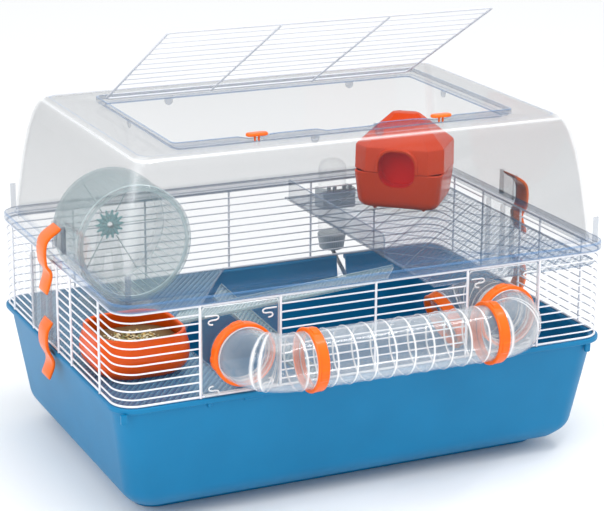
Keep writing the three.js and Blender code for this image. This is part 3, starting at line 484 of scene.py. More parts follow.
outer_rows = brim_rows()
# The rows on the roof's chamfer carry the painted highlight.
for lean, z, share in zip(wall_lean[1:], wall_height[1:], wall_share[1:]):
    outer_rows.append((canopy_row(16 * MM + lean, z), 0.0,
                       1.0 if 0.97 < share < 0.99 else 0.2 * (share >= 0.94)))
outer_rows += [(canopy_row(57.6 * MM, roof_z), 1.0, 0.0), (canopy_row(59 * MM, roof_z), 1.0, 0.0),
               (canopy_row(59.6 * MM, roof_z), 0.1, 0.0)]
rim_wall = 2.5 * MM
opening_rows = [
    (opening_row(rim_wall + 2 * MM, roof_z), 0.1, 0), (opening_row(rim_wall, roof_z + 0.6 * MM), 0.7, 0),
    (opening_row(rim_wall, roof_z + 5.6 * MM, 3.4 * MM), 0.3, 0),
    (opening_row(rim_wall, roof_z + 6.6 * MM, 3.4 * MM), 1, 0),
    (opening_row(rim_wall - 0.5 * MM, roof_z + 7 * MM, 3.4 * MM), 1, 0),
    (opening_row(0.4 * MM, roof_z + 7 * MM, 3.4 * MM), 1, 0),
    (opening_row(0, roof_z + 6.5 * MM, 3.4 * MM), 0.5, 0), (opening_row(0, roof_z - 1.6 * MM), 0.15, 0),
    (opening_row(-0.6 * MM, roof_z - 2.4 * MM), 0.9, 0), (opening_row(-6 * MM, roof_z - 2.5 * MM), 0.1, 0),
    (opening_row(-7 * MM, roof_z - 3 * MM), 1, 0), (opening_row(-7 * MM, roof_z - 5 * MM), 1, 0),
    (opening_row(-5 * MM, roof_z - 5 * MM), 0.2, 0), (opening_row(rim_wall, roof_z - 5 * MM), 0.0, 0),
]
inner_rows = [(canopy_row(18.5 * MM + lean, min(z, roof_z - 2.5 * MM)), 0.0, 0.0)
              for lean, z in zip(wall_lean[1:-1][::-1], wall_height[1:-1][::-1])]
inner_rows.append((canopy_row(18.5 * MM, flange_z), 0.4, 0.0))
rows = outer_rows + opening_rows + inner_rows
canopy_points = np.concatenate([row for row, fold, painted_glint in rows])
canopy_faces = grid_faces(len(rows), len(rows[0][0]), wrap_rows=True)
canopy = piece("canopy_shell", (canopy_points, canopy_faces), canopy_finish, "canopy", ["canopy"])

# The painted glint, a white painted highlight, lies on the roof's chamfer and, from the brim up, on the four
# upright corner folds.
per_row = len(rows[0][0])
fold_mark = np.repeat([fold for row, fold, painted_glint in rows], per_row)
painted_glint_mark = np.repeat([painted_glint for row, fold, painted_glint in rows], per_row)
corner_column = np.zeros(per_row)
for start in range(0, per_row, 9 + 29):
    corner_column[start + 1:start + 8] = (0.25, 0.5, 0.65, 0.65, 0.65, 0.5, 0.25)
wall_rows = np.arange(len(rows)) >= len(brim_rows())
wall_rows &= np.arange(len(rows)) < len(brim_rows()) + len(wall_share) - 1
painted_glint_mark = np.maximum(painted_glint_mark, (wall_rows[:, None] * corner_column[None, :]).ravel())
mark(canopy, "fold", fold_mark)
mark(canopy, "painted_glint", painted_glint_mark)


def slab(low_corner, high_corner, fillet=0.6 * MM):
    """An upright block with rounded upright edges and small chamfers along its top and bottom."""
    centre = [(low_corner[0] + high_corner[0]) / 2, (low_corner[1] + high_corner[1]) / 2]
    half = [(high_corner[0] - low_corner[0]) / 2, (high_corner[1] - low_corner[1]) / 2]
    fillet = min(fillet, 0.45 * half[0], 0.45 * half[1])
    levels = [(fillet, low_corner[2]), (0, low_corner[2] + fillet), (0, high_corner[2] - fillet),
              (fillet, high_corner[2])]
    return loft([round_loop(half[0] - inset, half[1] - inset, fillet, z, centre, 3) for inset, z in levels])


def tongue(x, y, along_x, top):
    """A small round-ended tongue that hangs from the opening's ledge."""
    turn = np.linspace(0, -np.pi, 13)
    arch = np.column_stack([6 * np.cos(turn), 6 * np.sin(turn) - 3]) * MM
    arch = np.vstack([[6 * MM, 0], arch, [-6 * MM, 0]])
    axis = np.array([1, 0, 0]) if along_x else np.array([0, 1, 0])
    across = np.array([0, 1, 0]) if along_x else np.array([1, 0, 0])
    face = np.array([x, y, top]) + arch[:, :1] * axis + arch[:, 1:] * np.array([0, 0, 1])
    return loft([face - across * 0.8 * MM, face + across * 0.8 * MM])


ledge_z = roof_z - 5 * MM
FIN_X, FIN_Y = 0.3355, 0.239
canopy_trim = [slab((sx * FIN_X - 4 * MM, sy * FIN_Y - 1 * MM, flange_z + 10.6 * MM),
                    (sx * FIN_X + 4 * MM, sy * FIN_Y + 1 * MM, flange_z + 47 * MM))
               for sx in (-1, 1) for sy in (-1, 1)]
canopy_trim += [tongue(x, 0.126, True, ledge_z) for x in (-0.14, 0.14)]
canopy_trim += [tongue(x, -0.154, True, ledge_z) for x in (-0.045, 0.048)]
canopy_trim += [tongue(x, 0.02, False, ledge_z) for x in (-0.2375, 0.2375)]
canopy_trim.append(slab((0.036, -0.1655, roof_z + 0.4 * MM), (0.0395, -0.160, roof_z + 6.8 * MM)))
trim = piece("canopy_fins_and_tongues", merged(canopy_trim), canopy_finish, "canopy")
mark(trim, "fold", np.full(len(trim.data.vertices), 0.4))

# ---------------------------------------------------------------- lid
# A gate of thin drawn wire welded across a thicker frame, enamelled white; it stands open on two of its eyes.
LID_TURN = math.radians(29)
lid_hinge = np.array([0, 124, 481.8]) * MM
lid_half, lid_depth = 234.5 * MM, 280 * MM


def on_lid(points):
    """Carries flat lid points, x along the hinge and y back towards it, up through the lid's angle."""
    points = np.asarray(points, dtype=float)
    x, out, rise = points[:, 0], points[:, 1], points[:, 2]
    y = out * math.cos(LID_TURN) + rise * math.sin(LID_TURN)
    z = -out * math.sin(LID_TURN) + rise * math.cos(LID_TURN)
    return np.column_stack([x, y, z]) + lid_hinge


lid_up = (0, math.sin(LID_TURN), math.cos(LID_TURN))
frame_loop = round_loop(lid_half - 1.5 * MM, lid_depth / 2 - 1.5 * MM, 5 * MM, 0, (0, -lid_depth / 2), 6)
lid_wires = [wire_tube(on_lid(frame_loop), 1.5 * MM, 10, closed=True, up=lid_up)]
for x in (-lid_half / 3, lid_half / 3):
    lid_wires.append(wire_tube(on_lid([[x, -1.5 * MM, -1.6 * MM], [x, 1.5 * MM - lid_depth, -1.6 * MM]]),
                               1.3 * MM, up=lid_up))
for row in np.arange(1, 13) / 13:
    y = -lid_depth * row
    ends = [[-lid_half + 1.5 * MM, y, 0], [lid_half - 1.5 * MM, y, 0]]
    lid_wires.append(wire_tube(on_lid(ends), 0.9 * MM, up=lid_up))
# The lid's wire wears the band's white enamel painted greyer, a painted shade for a lid lit from behind.
lid_enamel_painted_shade = moulded("steel_wire_lid_enamelled_white_painted_shade", "#c9ccd4", "#d8dae0", 0.3, grain_mm=0.4)
piece("lid_wires", merged(lid_wires), lid_enamel_painted_shade, "lid", ["lid"])

# ---------------------------------------------------------------- latches
# Two orange polypropylene turn buttons on the front of the roof's opening, each with an oval head on two
# short pegs.
orange_finish = moulded("polypropylene_orange_gloss_moulded", "#f0620c", "#f67318", 0.28, ior=1.3,
                        coat=0.15)


def button(x):
    """An oval head with a softly domed top over two round pegs."""
    y, base = -167.5 * MM, high("latch_left")[2] - 4 * MM
    levels = [(0.8, 0), (0, 0.8), (0, 2.2), (0.6, 3.3), (1.8, 3.9), (3.4, 4)]
    head = loft([round_loop((15 - i) * MM, (6.5 - i) * MM, (6.4 - i) * MM, base + h * MM, (x, y), 8)
                 for i, h in levels])
    pegs = [loft([round_loop(r * MM, r * MM, r * MM * 0.99, base - d * MM, (x + dx * MM, y), 5)
                  for r, d in ((1.4, -0.5), (1.4, 6), (1.0, 7))])
            for dx in (-2.8, 2.8)]
    return merged([head] + pegs)


for side, x in zip(("left", "right"), LATCH_X):
    piece(f"latch_button_{side}", button(x), orange_finish, f"latch_{side}", [f"latch_{side}"])

# ---------------------------------------------------------------- clips
# Curved orange polypropylene straps that hook the canopy to the band and the band to the tray's rim.
# Each has fine grip ribs across its shoulder; the upper pair turns in clear brackets on the canopy's ends.
CLIP_Y = 8 * MM
CLIP_HALF = 16 * MM
UPPER_LINE = np.array([(344.5, 343.8), (364.8, 326.8), (366.8, 297.8), (359.8, 281.9), (366.8, 255.9)]) * MM
LOWER_LINE = np.array([(360.3, 215.9), (367.9, 200.9), (367.8, 178.9), (359.8, 158), (366.8, 136)]) * MM


def smooth_line(points, steps=14):
    """Catmull-Rom curve: between two points it blends both with the slopes set by their neighbours."""
    padded = np.vstack([2 * points[0] - points[1], points, 2 * points[-1] - points[-2]])
    out = []
    for a, b, c, d in zip(padded, padded[1:], padded[2:], padded[3:]):
        t = np.linspace(0, 1, steps, endpoint=False)[:, None]
        square, cube = 2 * a - 5 * b + 4 * c - d, 3 * b - a - 3 * c + d
        out.append(0.5 * (2 * b + (c - a) * t + square * t ** 2 + cube * t ** 3))
    return np.vstack(out + [points[-1:]])


def strap(line, side):
    """A strap of even thickness along the line. Grip ribs add up to 0.6 mm outside as the square of a
    sine; the ends thin out and the long edges are rounded."""
    path = smooth_line(line)
    along = np.gradient(path, axis=0)
    along /= np.linalg.norm(along, axis=1, keepdims=True)
    outward = np.column_stack([-along[:, 1], along[:, 0]])
    reach = np.concatenate([[0], np.cumsum(np.linalg.norm(np.diff(path, axis=0), axis=1))])
    share = reach / reach[-1]
    ribs = 0.6 * MM * np.sin(reach / (3.4 * MM) * np.pi) ** 2 * ((share > 0.1) & (share < 0.46))
    loops = []
    for point, out, rib, s in zip(path, outward, ribs, share):
        taper = min(1.0, 0.55 + 12 * min(s, 1 - s))
        section = round_loop(CLIP_HALF, 2 * MM * taper, 1.2 * MM * taper, 0, steps=3)
        depth = np.where(section[:, 1] > 0, section[:, 1] + rib, section[:, 1])
        x, z = point[0] + out[0] * depth, point[1] + out[1] * depth
        loops.append(np.column_stack([side * x, CLIP_Y + section[:, 0], z]))
    return loft(loops)


for side, sign in (("left", -1), ("right", 1)):
    for level, line in (("upper", UPPER_LINE), ("lower", LOWER_LINE)):
        piece(f"clip_{level}_strap_{side}", strap(line, sign), orange_finish, f"{level}_clip_{side}",
              [f"clip_{level}_{side}"], sharp=0.9)
    bracket_low, bracket_high = low(f"clip_bracket_{side}"), high(f"clip_bracket_{side}")
    wall_x = bracket_low[0] if sign > 0 else bracket_high[0]
    frame_parts = [slab((min(wall_x, wall_x + sign * 1.5 * MM), bracket_low[1], bracket_low[2]),
                        (max(wall_x, wall_x + sign * 1.5 * MM), bracket_high[1], bracket_high[2]))]
    for y in (bracket_low[1], bracket_high[1] - 2 * MM):
        frame_parts.append(slab((bracket_low[0], y, bracket_low[2]),
                                (bracket_high[0], y + 2 * MM, bracket_high[2])))
    bracket = piece(f"clip_bracket_frame_{side}", merged(frame_parts), canopy_finish, "canopy",
                    [f"clip_bracket_{side}"])
    mark(bracket, "fold", np.full(len(bracket.data.vertices), 0.3))

# ---------------------------------------------------------------- clear panels
# Clear polystyrene windows set between the rings. The two front ones carry a round port with a short
# spigot, and moulded spring clips near their corners; the side ones have three upright grey-tinted flanges.
panel_finish = clear_moulded("polystyrene_clear_window_moulded", "#b4bfc7", 0.035, 0.3,
                             marks=(("fold", "#f4f8fb", 0.72), ("tint", "#8592a0", 0.3)))
panel_low, panel_high = low("port_panel_left"), high("port_panel_left")
panel_z = (panel_low[2], panel_high[2])
port_z = middle("elbow_left")[2]
panel_y = -ring_half[1]
TUBE, TUBE_WALL = 37 * MM, 2.4 * MM


def port_plate(x, inward):
    """A window with a round port: rectangle and circles are joined ray by ray from the port's centre. A
    ray meets the rectangle at its half width or half height, whichever comes first."""
    turn = np.linspace(0, 2 * np.pi, 96, endpoint=False)
    ray = np.column_stack([np.cos(turn), np.sin(turn)])
    half_x = (panel_high[0] - panel_low[0]) / 2
    above = np.where(ray[:, 1] > 0, panel_z[1] - port_z, port_z - panel_z[0])
    reach = np.minimum(half_x / np.maximum(np.abs(ray[:, 0]), 1e-6),
                       above / np.maximum(np.abs(ray[:, 1]), 1e-6))

    def ring(distance, y, fold):
        """One loop: every ray drawn out to its distance, at depth y from the panel's middle."""
        flat = ray * np.asarray(distance).reshape(-1, 1)
        return np.column_stack([x + flat[:, 0], np.full(len(turn), panel_y + y), port_z + flat[:, 1]]), fold

    front, back = -1.4 * MM, 1.4 * MM
    bore = TUBE - TUBE_WALL
    rows = [ring(reach - 0.7 * MM, back, 0.8), ring(reach, back - 0.7 * MM, 1),
            ring(reach, front + 0.7 * MM, 1), ring(reach - 0.7 * MM, front, 1),
            ring(reach - 1.5 * MM, front, 0), ring(41 * MM, front, 0),
            ring(39 * MM, front - 0.4 * MM, 1), ring(TUBE, front - 1.4 * MM, 0.7),
            ring(TUBE, -8.6 * MM, 0.2), ring(TUBE - 0.4 * MM, -9 * MM, 1),
            ring(bore, -9 * MM, 1), ring(bore, -8 * MM, 0.1)]
    if inward:
        rows += [ring(bore, 8 * MM, 0.1), ring(bore, 9 * MM, 1), ring(TUBE, 9 * MM, 1),
                 ring(TUBE, 2.4 * MM, 0.2), ring(39 * MM, back, 1)]
    else:
        rows += [ring(bore, back - 0.4 * MM, 0.4), ring(bore + 0.5 * MM, back, 1)]
    rows += [ring(42 * MM, back, 0), ring(reach - 1.5 * MM, back, 0)]
    faces = grid_faces(len(rows), len(turn), wrap_rows=True)
    folds = np.repeat([fold for points, fold in rows], len(turn))
    return np.concatenate([points for points, fold in rows]), faces, folds


def spring_clips(x):
    """Four hairpin clips: beads of round section that run out, turn back and end in a hook."""
    clips = []
    for side_x in (-1, 1):
        for side_z in (-1, 1):
            shape = np.array([(49, 53), (34, 53), (31, 52), (30, 50), (31, 48), (34, 47), (40, 47),
                              (43, 46), (44, 44), (43, 42), (40, 41), (38, 41)]) * MM
            path = np.column_stack([x + side_x * shape[:, 0], np.full(12, panel_y - 2 * MM),
                                    port_z + side_z * shape[:, 1]])
            clips.append(wire_tube(path, 1.1 * MM, 8, up=(0, 1, 0)))
    return merged(clips)


for side, inward in (("left", False), ("right", True)):
    x = middle(f"port_panel_{side}")[0]
    points, faces, folds = port_plate(x, inward)
    plate = piece(f"port_window_{side}", (points, faces), panel_finish, "band", [f"port_panel_{side}"])
    mark(plate, "fold", folds)
    clips = piece(f"port_spring_clips_{side}", spring_clips(x), panel_finish, "band")
    mark(clips, "fold", np.full(len(clips.data.vertices), 1.0))
    side_low, side_high = low(f"side_panel_{side}"), high(f"side_panel_{side}")
    sign = -1 if side == "left" else 1
    sheet_x = sorted((sign * (ring_half[0] - 1.4 * MM), sign * (ring_half[0] + 1.4 * MM)))
    outer_x = sorted((sign * ring_half[0], side_low[0] if sign < 0 else side_high[0]))
    window = slab((sheet_x[0], side_low[1], side_low[2]), (sheet_x[1], side_high[1], side_high[2]))
    flanges = [slab((outer_x[0], y, side_low[2] + 6 * MM),
                    (outer_x[1], y + 2.4 * MM, side_high[2] - 6 * MM))
               for y in (side_high[1] - 12 * MM, side_low[1] + 24 * MM, side_low[1] + 52 * MM)]
    made = piece(f"side_window_{side}", merged([window] + flanges), panel_finish, "band",
                 [f"side_panel_{side}"])
    count = len(window[0])
    mark(made, "fold",
         np.concatenate([np.full(count, 0.05), np.full(len(made.data.vertices) - count, 0.25)]))
    mark(made, "tint",
         np.concatenate([np.full(count, 0.15), np.full(len(made.data.vertices) - count, 0.8)]))

# ---------------------------------------------------------------- tube run
# Clear polystyrene pipe sections that a hamster walks through: two bends outside, one inside and a long
# straight. Raised rings stiffen every section; the straight one has nine of them, evenly spaced.
# The white fold mark is a painted highlight on the tube's rings and ends.
tube_finish = clear_moulded("polystyrene_clear_tube_moulded_painted_highlights", "#d3dbe1", 0.055, 0.58, ior=2.6,
                            marks=(("fold", "#ffffff", 0.8),))
BEND, LAND, STUB = 47 * MM, 8 * MM, 14 * MM
spigot_end = ring_half[1] + 9.3 * MM
run_y = -(spigot_end + BEND + LAND)
run_x = (-0.120, 0.136)
INNER_DROP = math.radians(25)


def pipe(path, beads, outer=TUBE, wall=TUBE_WALL):
    """A pipe along a level path, with raised rings at the given shares of its length. Each adds 0.9 mm
    outside times a bell: e to minus the square of the distance over 1.3 mm. A slightly wider bell sets the
    rings' white mark, a painted highlight; the pipe's two ends carry it too."""
    path = np.asarray(path, dtype=float)
    along = np.gradient(path, axis=0)
    along /= np.linalg.norm(along, axis=1, keepdims=True)
    across = np.cross((0, 0, 1), along)
    reach = np.concatenate([[0], np.cumsum(np.linalg.norm(np.diff(path, axis=0), axis=1))])
    gap = np.abs(reach[:, None] - np.asarray(beads)[None, :] * reach[-1]).min(axis=1)
    bell = np.exp(-(gap / (1.3 * MM)) ** 2)
    turn = np.arange(48) / 48 * 2 * np.pi
    cosine, sine = np.cos(turn)[None, :, None], np.sin(turn)[None, :, None]
    circle = cosine * across[:, None] + sine * np.array([0, 0, 1])
    outside = path[:, None] + (outer + 0.9 * MM * bell)[:, None, None] * circle
    inside = path[:, None] + (outer - wall) * circle
    rings = list(outside) + list(inside[::-1])
    fold = np.concatenate([np.exp(-(gap / (1.6 * MM)) ** 2), np.zeros(len(path))])
    fold[[0, -1]] = 0.9
    points, faces = loft(rings, wraps=True)
    return points, faces, np.repeat(fold, 48)


def bend_path(x, y, along_x, along_y, stub):
    """From a port out along Y, round a quarter turn and away along X, with points close enough for rings."""
    turn = np.linspace(0, np.pi / 2, 60)
    arc_x = along_x * BEND * (1 - np.cos(turn))
    arc_y = along_y * (LAND + BEND * np.sin(turn))
    start = np.linspace(0, LAND, 8)[:-1]
    end = np.linspace(0, LAND + stub, 14)[1:]
    path_x = np.concatenate([np.zeros(7), arc_x, along_x * (BEND + end)])
    path_y = np.concatenate([along_y * start, arc_y, np.full(13, along_y * (BEND + LAND))])
    return np.column_stack([x + path_x, y + path_y, np.full(len(path_x), port_z)])


def dropped(points, pivot):
    """Turns points about Y through the pivot: x' = x cos a - z sin a and z' = x sin a + z cos a."""
    x, y, z = (np.asarray(points) - pivot).T
    cosine, sine = math.cos(INNER_DROP), math.sin(INNER_DROP)
    return np.column_stack([x * cosine - z * sine, y, x * sine + z * cosine]) + pivot


straight_path = np.column_stack([np.linspace(run_x[0] + 0.3 * MM, run_x[1] - 0.3 * MM, 400),
                                 np.full(400, run_y), np.full(400, port_z)])
straight_beads = (np.arange(9) + 0.75) / 9.5
left_x, right_x = middle("port_panel_left")[0], middle("port_panel_right")[0]
sections = (
    ("bend_left", "elbow_left", bend_path(left_x, -spigot_end, 1, -1, STUB), (0.09, 0.4, 0.46, 0.8, 0.93)),
    ("bend_right", "elbow_right", bend_path(right_x, -spigot_end, -1, -1, 0), (0.1, 0.48, 0.54, 0.88)),
    ("bend_inside", "elbow_inner", bend_path(right_x, -ring_half[1] + 9.3 * MM, -1, 1, 0),
     (0.1, 0.3, 0.5, 0.7, 0.88)),
    ("straight_section", "tube_straight", straight_path, straight_beads),
)
for name, node, path, beads in sections:
    points, faces, folds = pipe(path, beads)
    if name == "bend_inside":
        points = dropped(points, path[0])
    made = piece(f"tube_{name}", (points, faces), tube_finish, "band", [node])
    mark(made, "fold", folds)

# ---------------------------------------------------------------- lock rings
# Orange polypropylene rings that grip each joint of the run and turn by hand to lock. Four raised pads
# with fine ribs stand round each, and a thin flange marks one edge.
COLLAR = 41 * MM


def lock_ring(centre, along_x):
    """Revolved band. Its outside radius is 41 mm, plus 1.8 mm where the angle and the width fall on a pad
    (a smooth step in angle), plus up to 0.6 mm there as the square of a sine of the angle."""
    turn = np.arange(192) / 192 * 2 * np.pi
    off = np.abs((turn / (np.pi / 2) - 0.125 + 0.5) % 1 - 0.5) * 90
    pad = 0.5 * (1 - np.tanh((off - 11) / 1.2))
    rib = pad * np.sin(np.radians(off) * 24) ** 2
    stations = [(-7.5, -1.2, 0), (-7.3, 0, 0), (-6.2, 0.9, 0), (-5.2, 0.9, 0), (-4.8, 0, 0.2),
                (-3.6, 0, 1), (0, 0.2, 1), (5.4, 0, 1), (6.8, 0, 0.2), (7.3, -0.3, 0),
                (7.5, -1.2, 0), (7.5, -3.6, 0), (-7.5, -3.6, 0)]
    rows = []
    for s, rise, share in stations:
        radius = COLLAR + rise * MM + share * (1.8 * MM * pad + 0.6 * MM * rib)
        flat, up = radius * np.cos(turn), radius * np.sin(turn)
        step = np.full(192, s * MM)
        rows.append(np.column_stack([step, flat, up] if along_x else [flat, step, up]) + centre)
    return loft(rows, wraps=True)


for label in ("port_left", "tube_left", "tube_right", "port_right", "inner"):
    node = f"collar_{label}"
    points, faces = lock_ring(middle(node), label in ("tube_left", "tube_right", "inner"))
    if label == "inner":
        points = dropped(points, middle(node))
    piece(f"lock_ring_{label}", (points, faces), orange_finish,
          f"lock_ring_{label}", [node], sharp=0.6)

# ---------------------------------------------------------------- inner floor and upper platform
# Translucent blue-grey polystyrene sheets. Fine lines slant one way across the floor and both ways across
# the platform, which also has a wide diagonal net of thicker ribs. The platform's left edge turns up into a
# clear lip with a cut front corner.


def ribbed_sheet(name, colour, rib_colour, facing, pitch_mm, rib_mm, turns, most):
    """Translucent sheet whose cover and colour change on thin straight lines. Across each direction, the
    distance to the nearest line is a ping-pong of the coordinate over half the pitch."""
    made, tree, shader, place = blank_material(name)
    shader.inputs["IOR"].default_value = 1.9
    net = None
    for turn in turns:
        spun = add_node(tree, "ShaderNodeVectorRotate", {"Angle": math.radians(turn)}, {"Vector": place},
                        rotation_type="Z_AXIS")
        across = add_node(tree, "ShaderNodeSeparateXYZ", None,
                          {"Vector": spun.outputs["Vector"]}).outputs["X"]
        fold = add_node(tree, "ShaderNodeMath", {1: pitch_mm * MM / 2}, {0: across},
                        operation="PINGPONG").outputs[0]
        line = add_node(tree, "ShaderNodeMapRange",
                        {"From Min": rib_mm * MM * 0.35, "From Max": rib_mm * MM * 0.65,
                         "To Min": 1.0, "To Max": 0.0},
                        {"Value": fold}).outputs["Result"]
        if net is None:
            net = line
        else:
            net = add_node(tree, "ShaderNodeMath", None, {0: net, 1: line}, operation="MAXIMUM").outputs[0]
    cloud = add_node(tree, "ShaderNodeTexNoise", {"Scale": 30.0, "Detail": 3.0},
                     {"Vector": place}).outputs["Fac"]
    base = add_node(tree, "ShaderNodeMapRange", {"To Min": facing - 0.06, "To Max": facing + 0.06},
                    {"Value": cloud})
    alpha = add_node(tree, "ShaderNodeMapRange", {"To Max": most},
                     {"Value": net, "To Min": base.outputs["Result"]})
    paint = add_node(tree, "ShaderNodeMixRGB", {"Color1": linear(colour), "Color2": linear(rib_colour)},
                     {"Fac": net})
    tree.links.new(alpha.outputs["Result"], shader.inputs["Alpha"])
    tree.links.new(paint.outputs[0], shader.inputs["Base Color"])
    bump = add_node(tree, "ShaderNodeBump", {"Strength": 0.5, "Distance": 0.4 * MM}, {"Height": net})
    tree.links.new(bump.outputs["Normal"], shader.inputs["Normal"])
    shader.inputs["Roughness"].default_value = 0.22
    return made


floor_sheet_finish = ribbed_sheet("polystyrene_smoke_blue_ribbed_sheet", "#4f8fb8", "#8db6cc", 0.4, 7, 1.6,
                                  (38,), 0.6)
platform_finish = ribbed_sheet("polystyrene_smoke_blue_netted_sheet", "#8da5b8", "#5c7f9f", 0.1, 7, 1.3,
                               (45, -45), 0.62)
rib_finish = clear_moulded("polystyrene_smoke_blue_thick_ribs", "#8fa9c8", 0.25, 0.5,
                           marks=(("fold", "#7196bf", 0.6),))
inside = ring_half - 2.6 * MM
SHEET_CORNER = 27.4 * MM
floor_low, floor_high = low("inner_floor"), high("inner_floor")


def arc_points(centre, radius, start, stop, steps=10):
    """Points on a level arc from start to stop in quarter turns."""
    turn = np.linspace(start, stop, steps) * np.pi / 2
    return [(centre[0] + radius * math.cos(t), centre[1] + radius * math.sin(t)) for t in turn]


def sheet(edge, z_low, z_high):
    """A flat sheet with the given outline, between two heights."""
    edge = np.asarray(edge, dtype=float)
    loops = [np.column_stack([edge, np.full(len(edge), z)]) for z in (z_low, z_high)]
    return loft(loops)


floor_edge = [(-0.012, inside[1])]
floor_edge += arc_points((SHEET_CORNER - inside[0], inside[1] - SHEET_CORNER), SHEET_CORNER, 1, 2)
floor_edge += arc_points((SHEET_CORNER - inside[0], SHEET_CORNER - inside[1]), SHEET_CORNER, 2, 3)
floor_edge += [(-0.192, -inside[1]), (-0.192, -0.037)]
piece("inner_floor_sheet", sheet(floor_edge, floor_low[2], floor_high[2]), floor_sheet_finish, "tray",
      ["inner_floor"])
bead_line = [(-0.192, -inside[1] + 2 * MM), (-0.192, -0.037), (-0.0125, inside[1] - 3 * MM)]
floor_bead = wire_tube([(x, y, floor_high[2] + 0.2 * MM) for x, y in bead_line], 1.6 * MM)
post = slab((-0.196, -0.046, floor_high[2]), (-0.188, -0.038, floor_high[2] + 14 * MM))
beads = piece("inner_floor_edge_bead", merged([floor_bead, post]), rib_finish, "tray")
mark(beads, "fold", np.full(len(beads.data.vertices), 0.6))

deck_low, deck_high = low("upper_platform"), high("upper_platform")
deck_top = deck_low[2] + 2.6 * MM
deck_half_y = -deck_low[1]
deck_edge = [(deck_low[0], deck_low[1])]
deck_edge += arc_points((deck_high[0] - SHEET_CORNER, deck_low[1] + SHEET_CORNER), SHEET_CORNER, -1, 0)
deck_edge += arc_points((deck_high[0] - SHEET_CORNER, deck_half_y - SHEET_CORNER), SHEET_CORNER, 0, 1)
deck_edge += [(deck_low[0], deck_half_y)]
piece("upper_platform_sheet", sheet(deck_edge, deck_low[2], deck_top), platform_finish, "band",
      ["upper_platform"])
lip_front, lip_back = -0.092, inside[1] - 17 * MM
lip_side = np.array([(lip_front, deck_low[2]), (lip_front, deck_high[2] - 6 * MM),
                     (lip_front + 5 * MM, deck_high[2]), (lip_back, deck_high[2]),
                     (lip_back, deck_low[2])])
lip = piece("upper_platform_lip",
            loft([np.column_stack([np.full(5, x), lip_side])
                  for x in (deck_low[0], deck_low[0] + 2.6 * MM)]),
            canopy_finish, "band")
mark(lip, "fold", np.full(len(lip.data.vertices), 0.35))
lip_line = np.column_stack([np.full(5, deck_low[0] + 1.3 * MM), lip_side])
thick = [wire_tube(lip_line[:4], 1.2 * MM, up=(1, 0, 0)),
         wire_tube([(deck_low[0] + 1.3 * MM, y, deck_top) for y in (deck_low[1] + 1 * MM, lip_back)],
                   1.3 * MM)]
rib_z = deck_low[2] + 1 * MM
x_low, x_high = deck_low[0] + 2 * MM, deck_high[0] - 10 * MM
y_low, y_high = deck_low[1] + 10 * MM, deck_half_y - 10 * MM
RIB_PITCH, RIB_SHORTEST = 0.066, 15 * MM
for slope in (1, -1):
    for offset in np.arange(-0.7, 0.8, RIB_PITCH):
        nearer, farther = sorted(((y_low - offset) * slope, (y_high - offset) * slope))
        ends = [max(x_low, nearer), min(x_high, farther)]
        if ends[1] - ends[0] > RIB_SHORTEST:
            thick.append(wire_tube([(x, offset + slope * x, rib_z) for x in ends], 0.9 * MM))
round_edge = np.array([(x, y, deck_top) for x, y in deck_edge])
thick.append(wire_tube(round_edge + (0, 0, -1 * MM), 1.3 * MM))
ribs = piece("upper_platform_ribs", merged(thick), rib_finish, "band")
mark(ribs, "fold", np.full(len(ribs.data.vertices), 0.45))

# ---------------------------------------------------------------- ramps
# Teal translucent boards, moulded with low side lips and fine ribs across that give small feet a grip.
teal_finish = clear_moulded("polystyrene_pale_teal_translucent_moulded", "#94b6bd", 0.42, 0.8,
                            roughness=0.2, ior=1.6, marks=(("fold", "#c8dcdf", 0.75),))
RAMPS = (
    ("upper", "band", (-0.1709, 0.0362, 0.1799), (0.074, -0.143, 0.2679)),
    ("lower", "tray", (0.1008, 0.0659, 0.009), (-0.0546, 0.1663, 0.1669)),
)


def ramp_board(foot, head):
    """A board from foot to head. Its walking face rises and falls by 0.7 mm as the square of a sine with a
    6 mm beat; the two lips stand 5 mm above the underside."""
    foot, head = np.array(foot), np.array(head)
    run = head - foot
    length = np.linalg.norm(run)
    along = run / length
    across = np.cross(along, (0, 0, 1))
    across /= np.linalg.norm(across)
    normal = np.cross(across, along)
    steps = int(length / (1 * MM))
    s = np.linspace(0, length, steps)
    rib = np.sin(s / (6 * MM) * np.pi) ** 2
    rows, folds = [], []
    for distance, r in zip(s, rib):
        top = (1.7 + 0.7 * r) * MM
        section = [(-31, 0), (31, 0), (31, 4.4), (30.4, 5), (29.6, 5), (29, 4.4), (29, top / MM),
                   (-29, top / MM), (-29, 4.4), (-29.6, 5), (-30.4, 5), (-31, 4.4)]
        rows.append(np.array([foot + along * distance + across * a * MM + normal * b * MM
                              for a, b in section]))
        folds += [0, 0, 0.8, 0.9, 0.9, 0.6, r * 0.7, r * 0.7, 0.6, 0.9, 0.9, 0.8]
    return loft(rows), folds


for label, body, foot, head in RAMPS:
    board, folds = ramp_board(foot, head)
    ramp = piece(f"ramp_board_{label}", board, teal_finish, body, [f"ramp_{label}"])
    mark(ramp, "fold", folds)

# ---------------------------------------------------------------- wheel
# Pale teal translucent drum with rungs across the inside of its tread, a closed back with a star-shaped
# boss, and a narrow front ring. It turns on a stub axle that the A-shaped stand holds behind it.
wheel_low, wheel_high = low("wheel"), high("wheel")
wheel_centre = middle("wheel")
WHEEL, RUNG_COUNT = 84 * MM, 48
wheel_finish = clear_moulded("polystyrene_pale_teal_wheel_moulded", "#93b8be", 0.17, 0.6,
                             roughness=0.16, ior=1.8,
                             marks=(("fold", "#cfe2e4", 0.66), ("star", "#78bfc2", 0.7)))
turn = np.arange(RUNG_COUNT * 8) / (RUNG_COUNT * 8) * 2 * np.pi
rung = np.clip(np.cos(turn * RUNG_COUNT) * 2 - 1, 0, 1)


def wheel_row(radius, y, ripple=0.0):
    """A circle round the axle at depth y; the ripple lets the rungs in towards it."""
    distance = radius - ripple * rung
    return np.column_stack([wheel_centre[0] + distance * np.cos(turn), np.full(len(turn), y),
                            wheel_centre[2] + distance * np.sin(turn)])


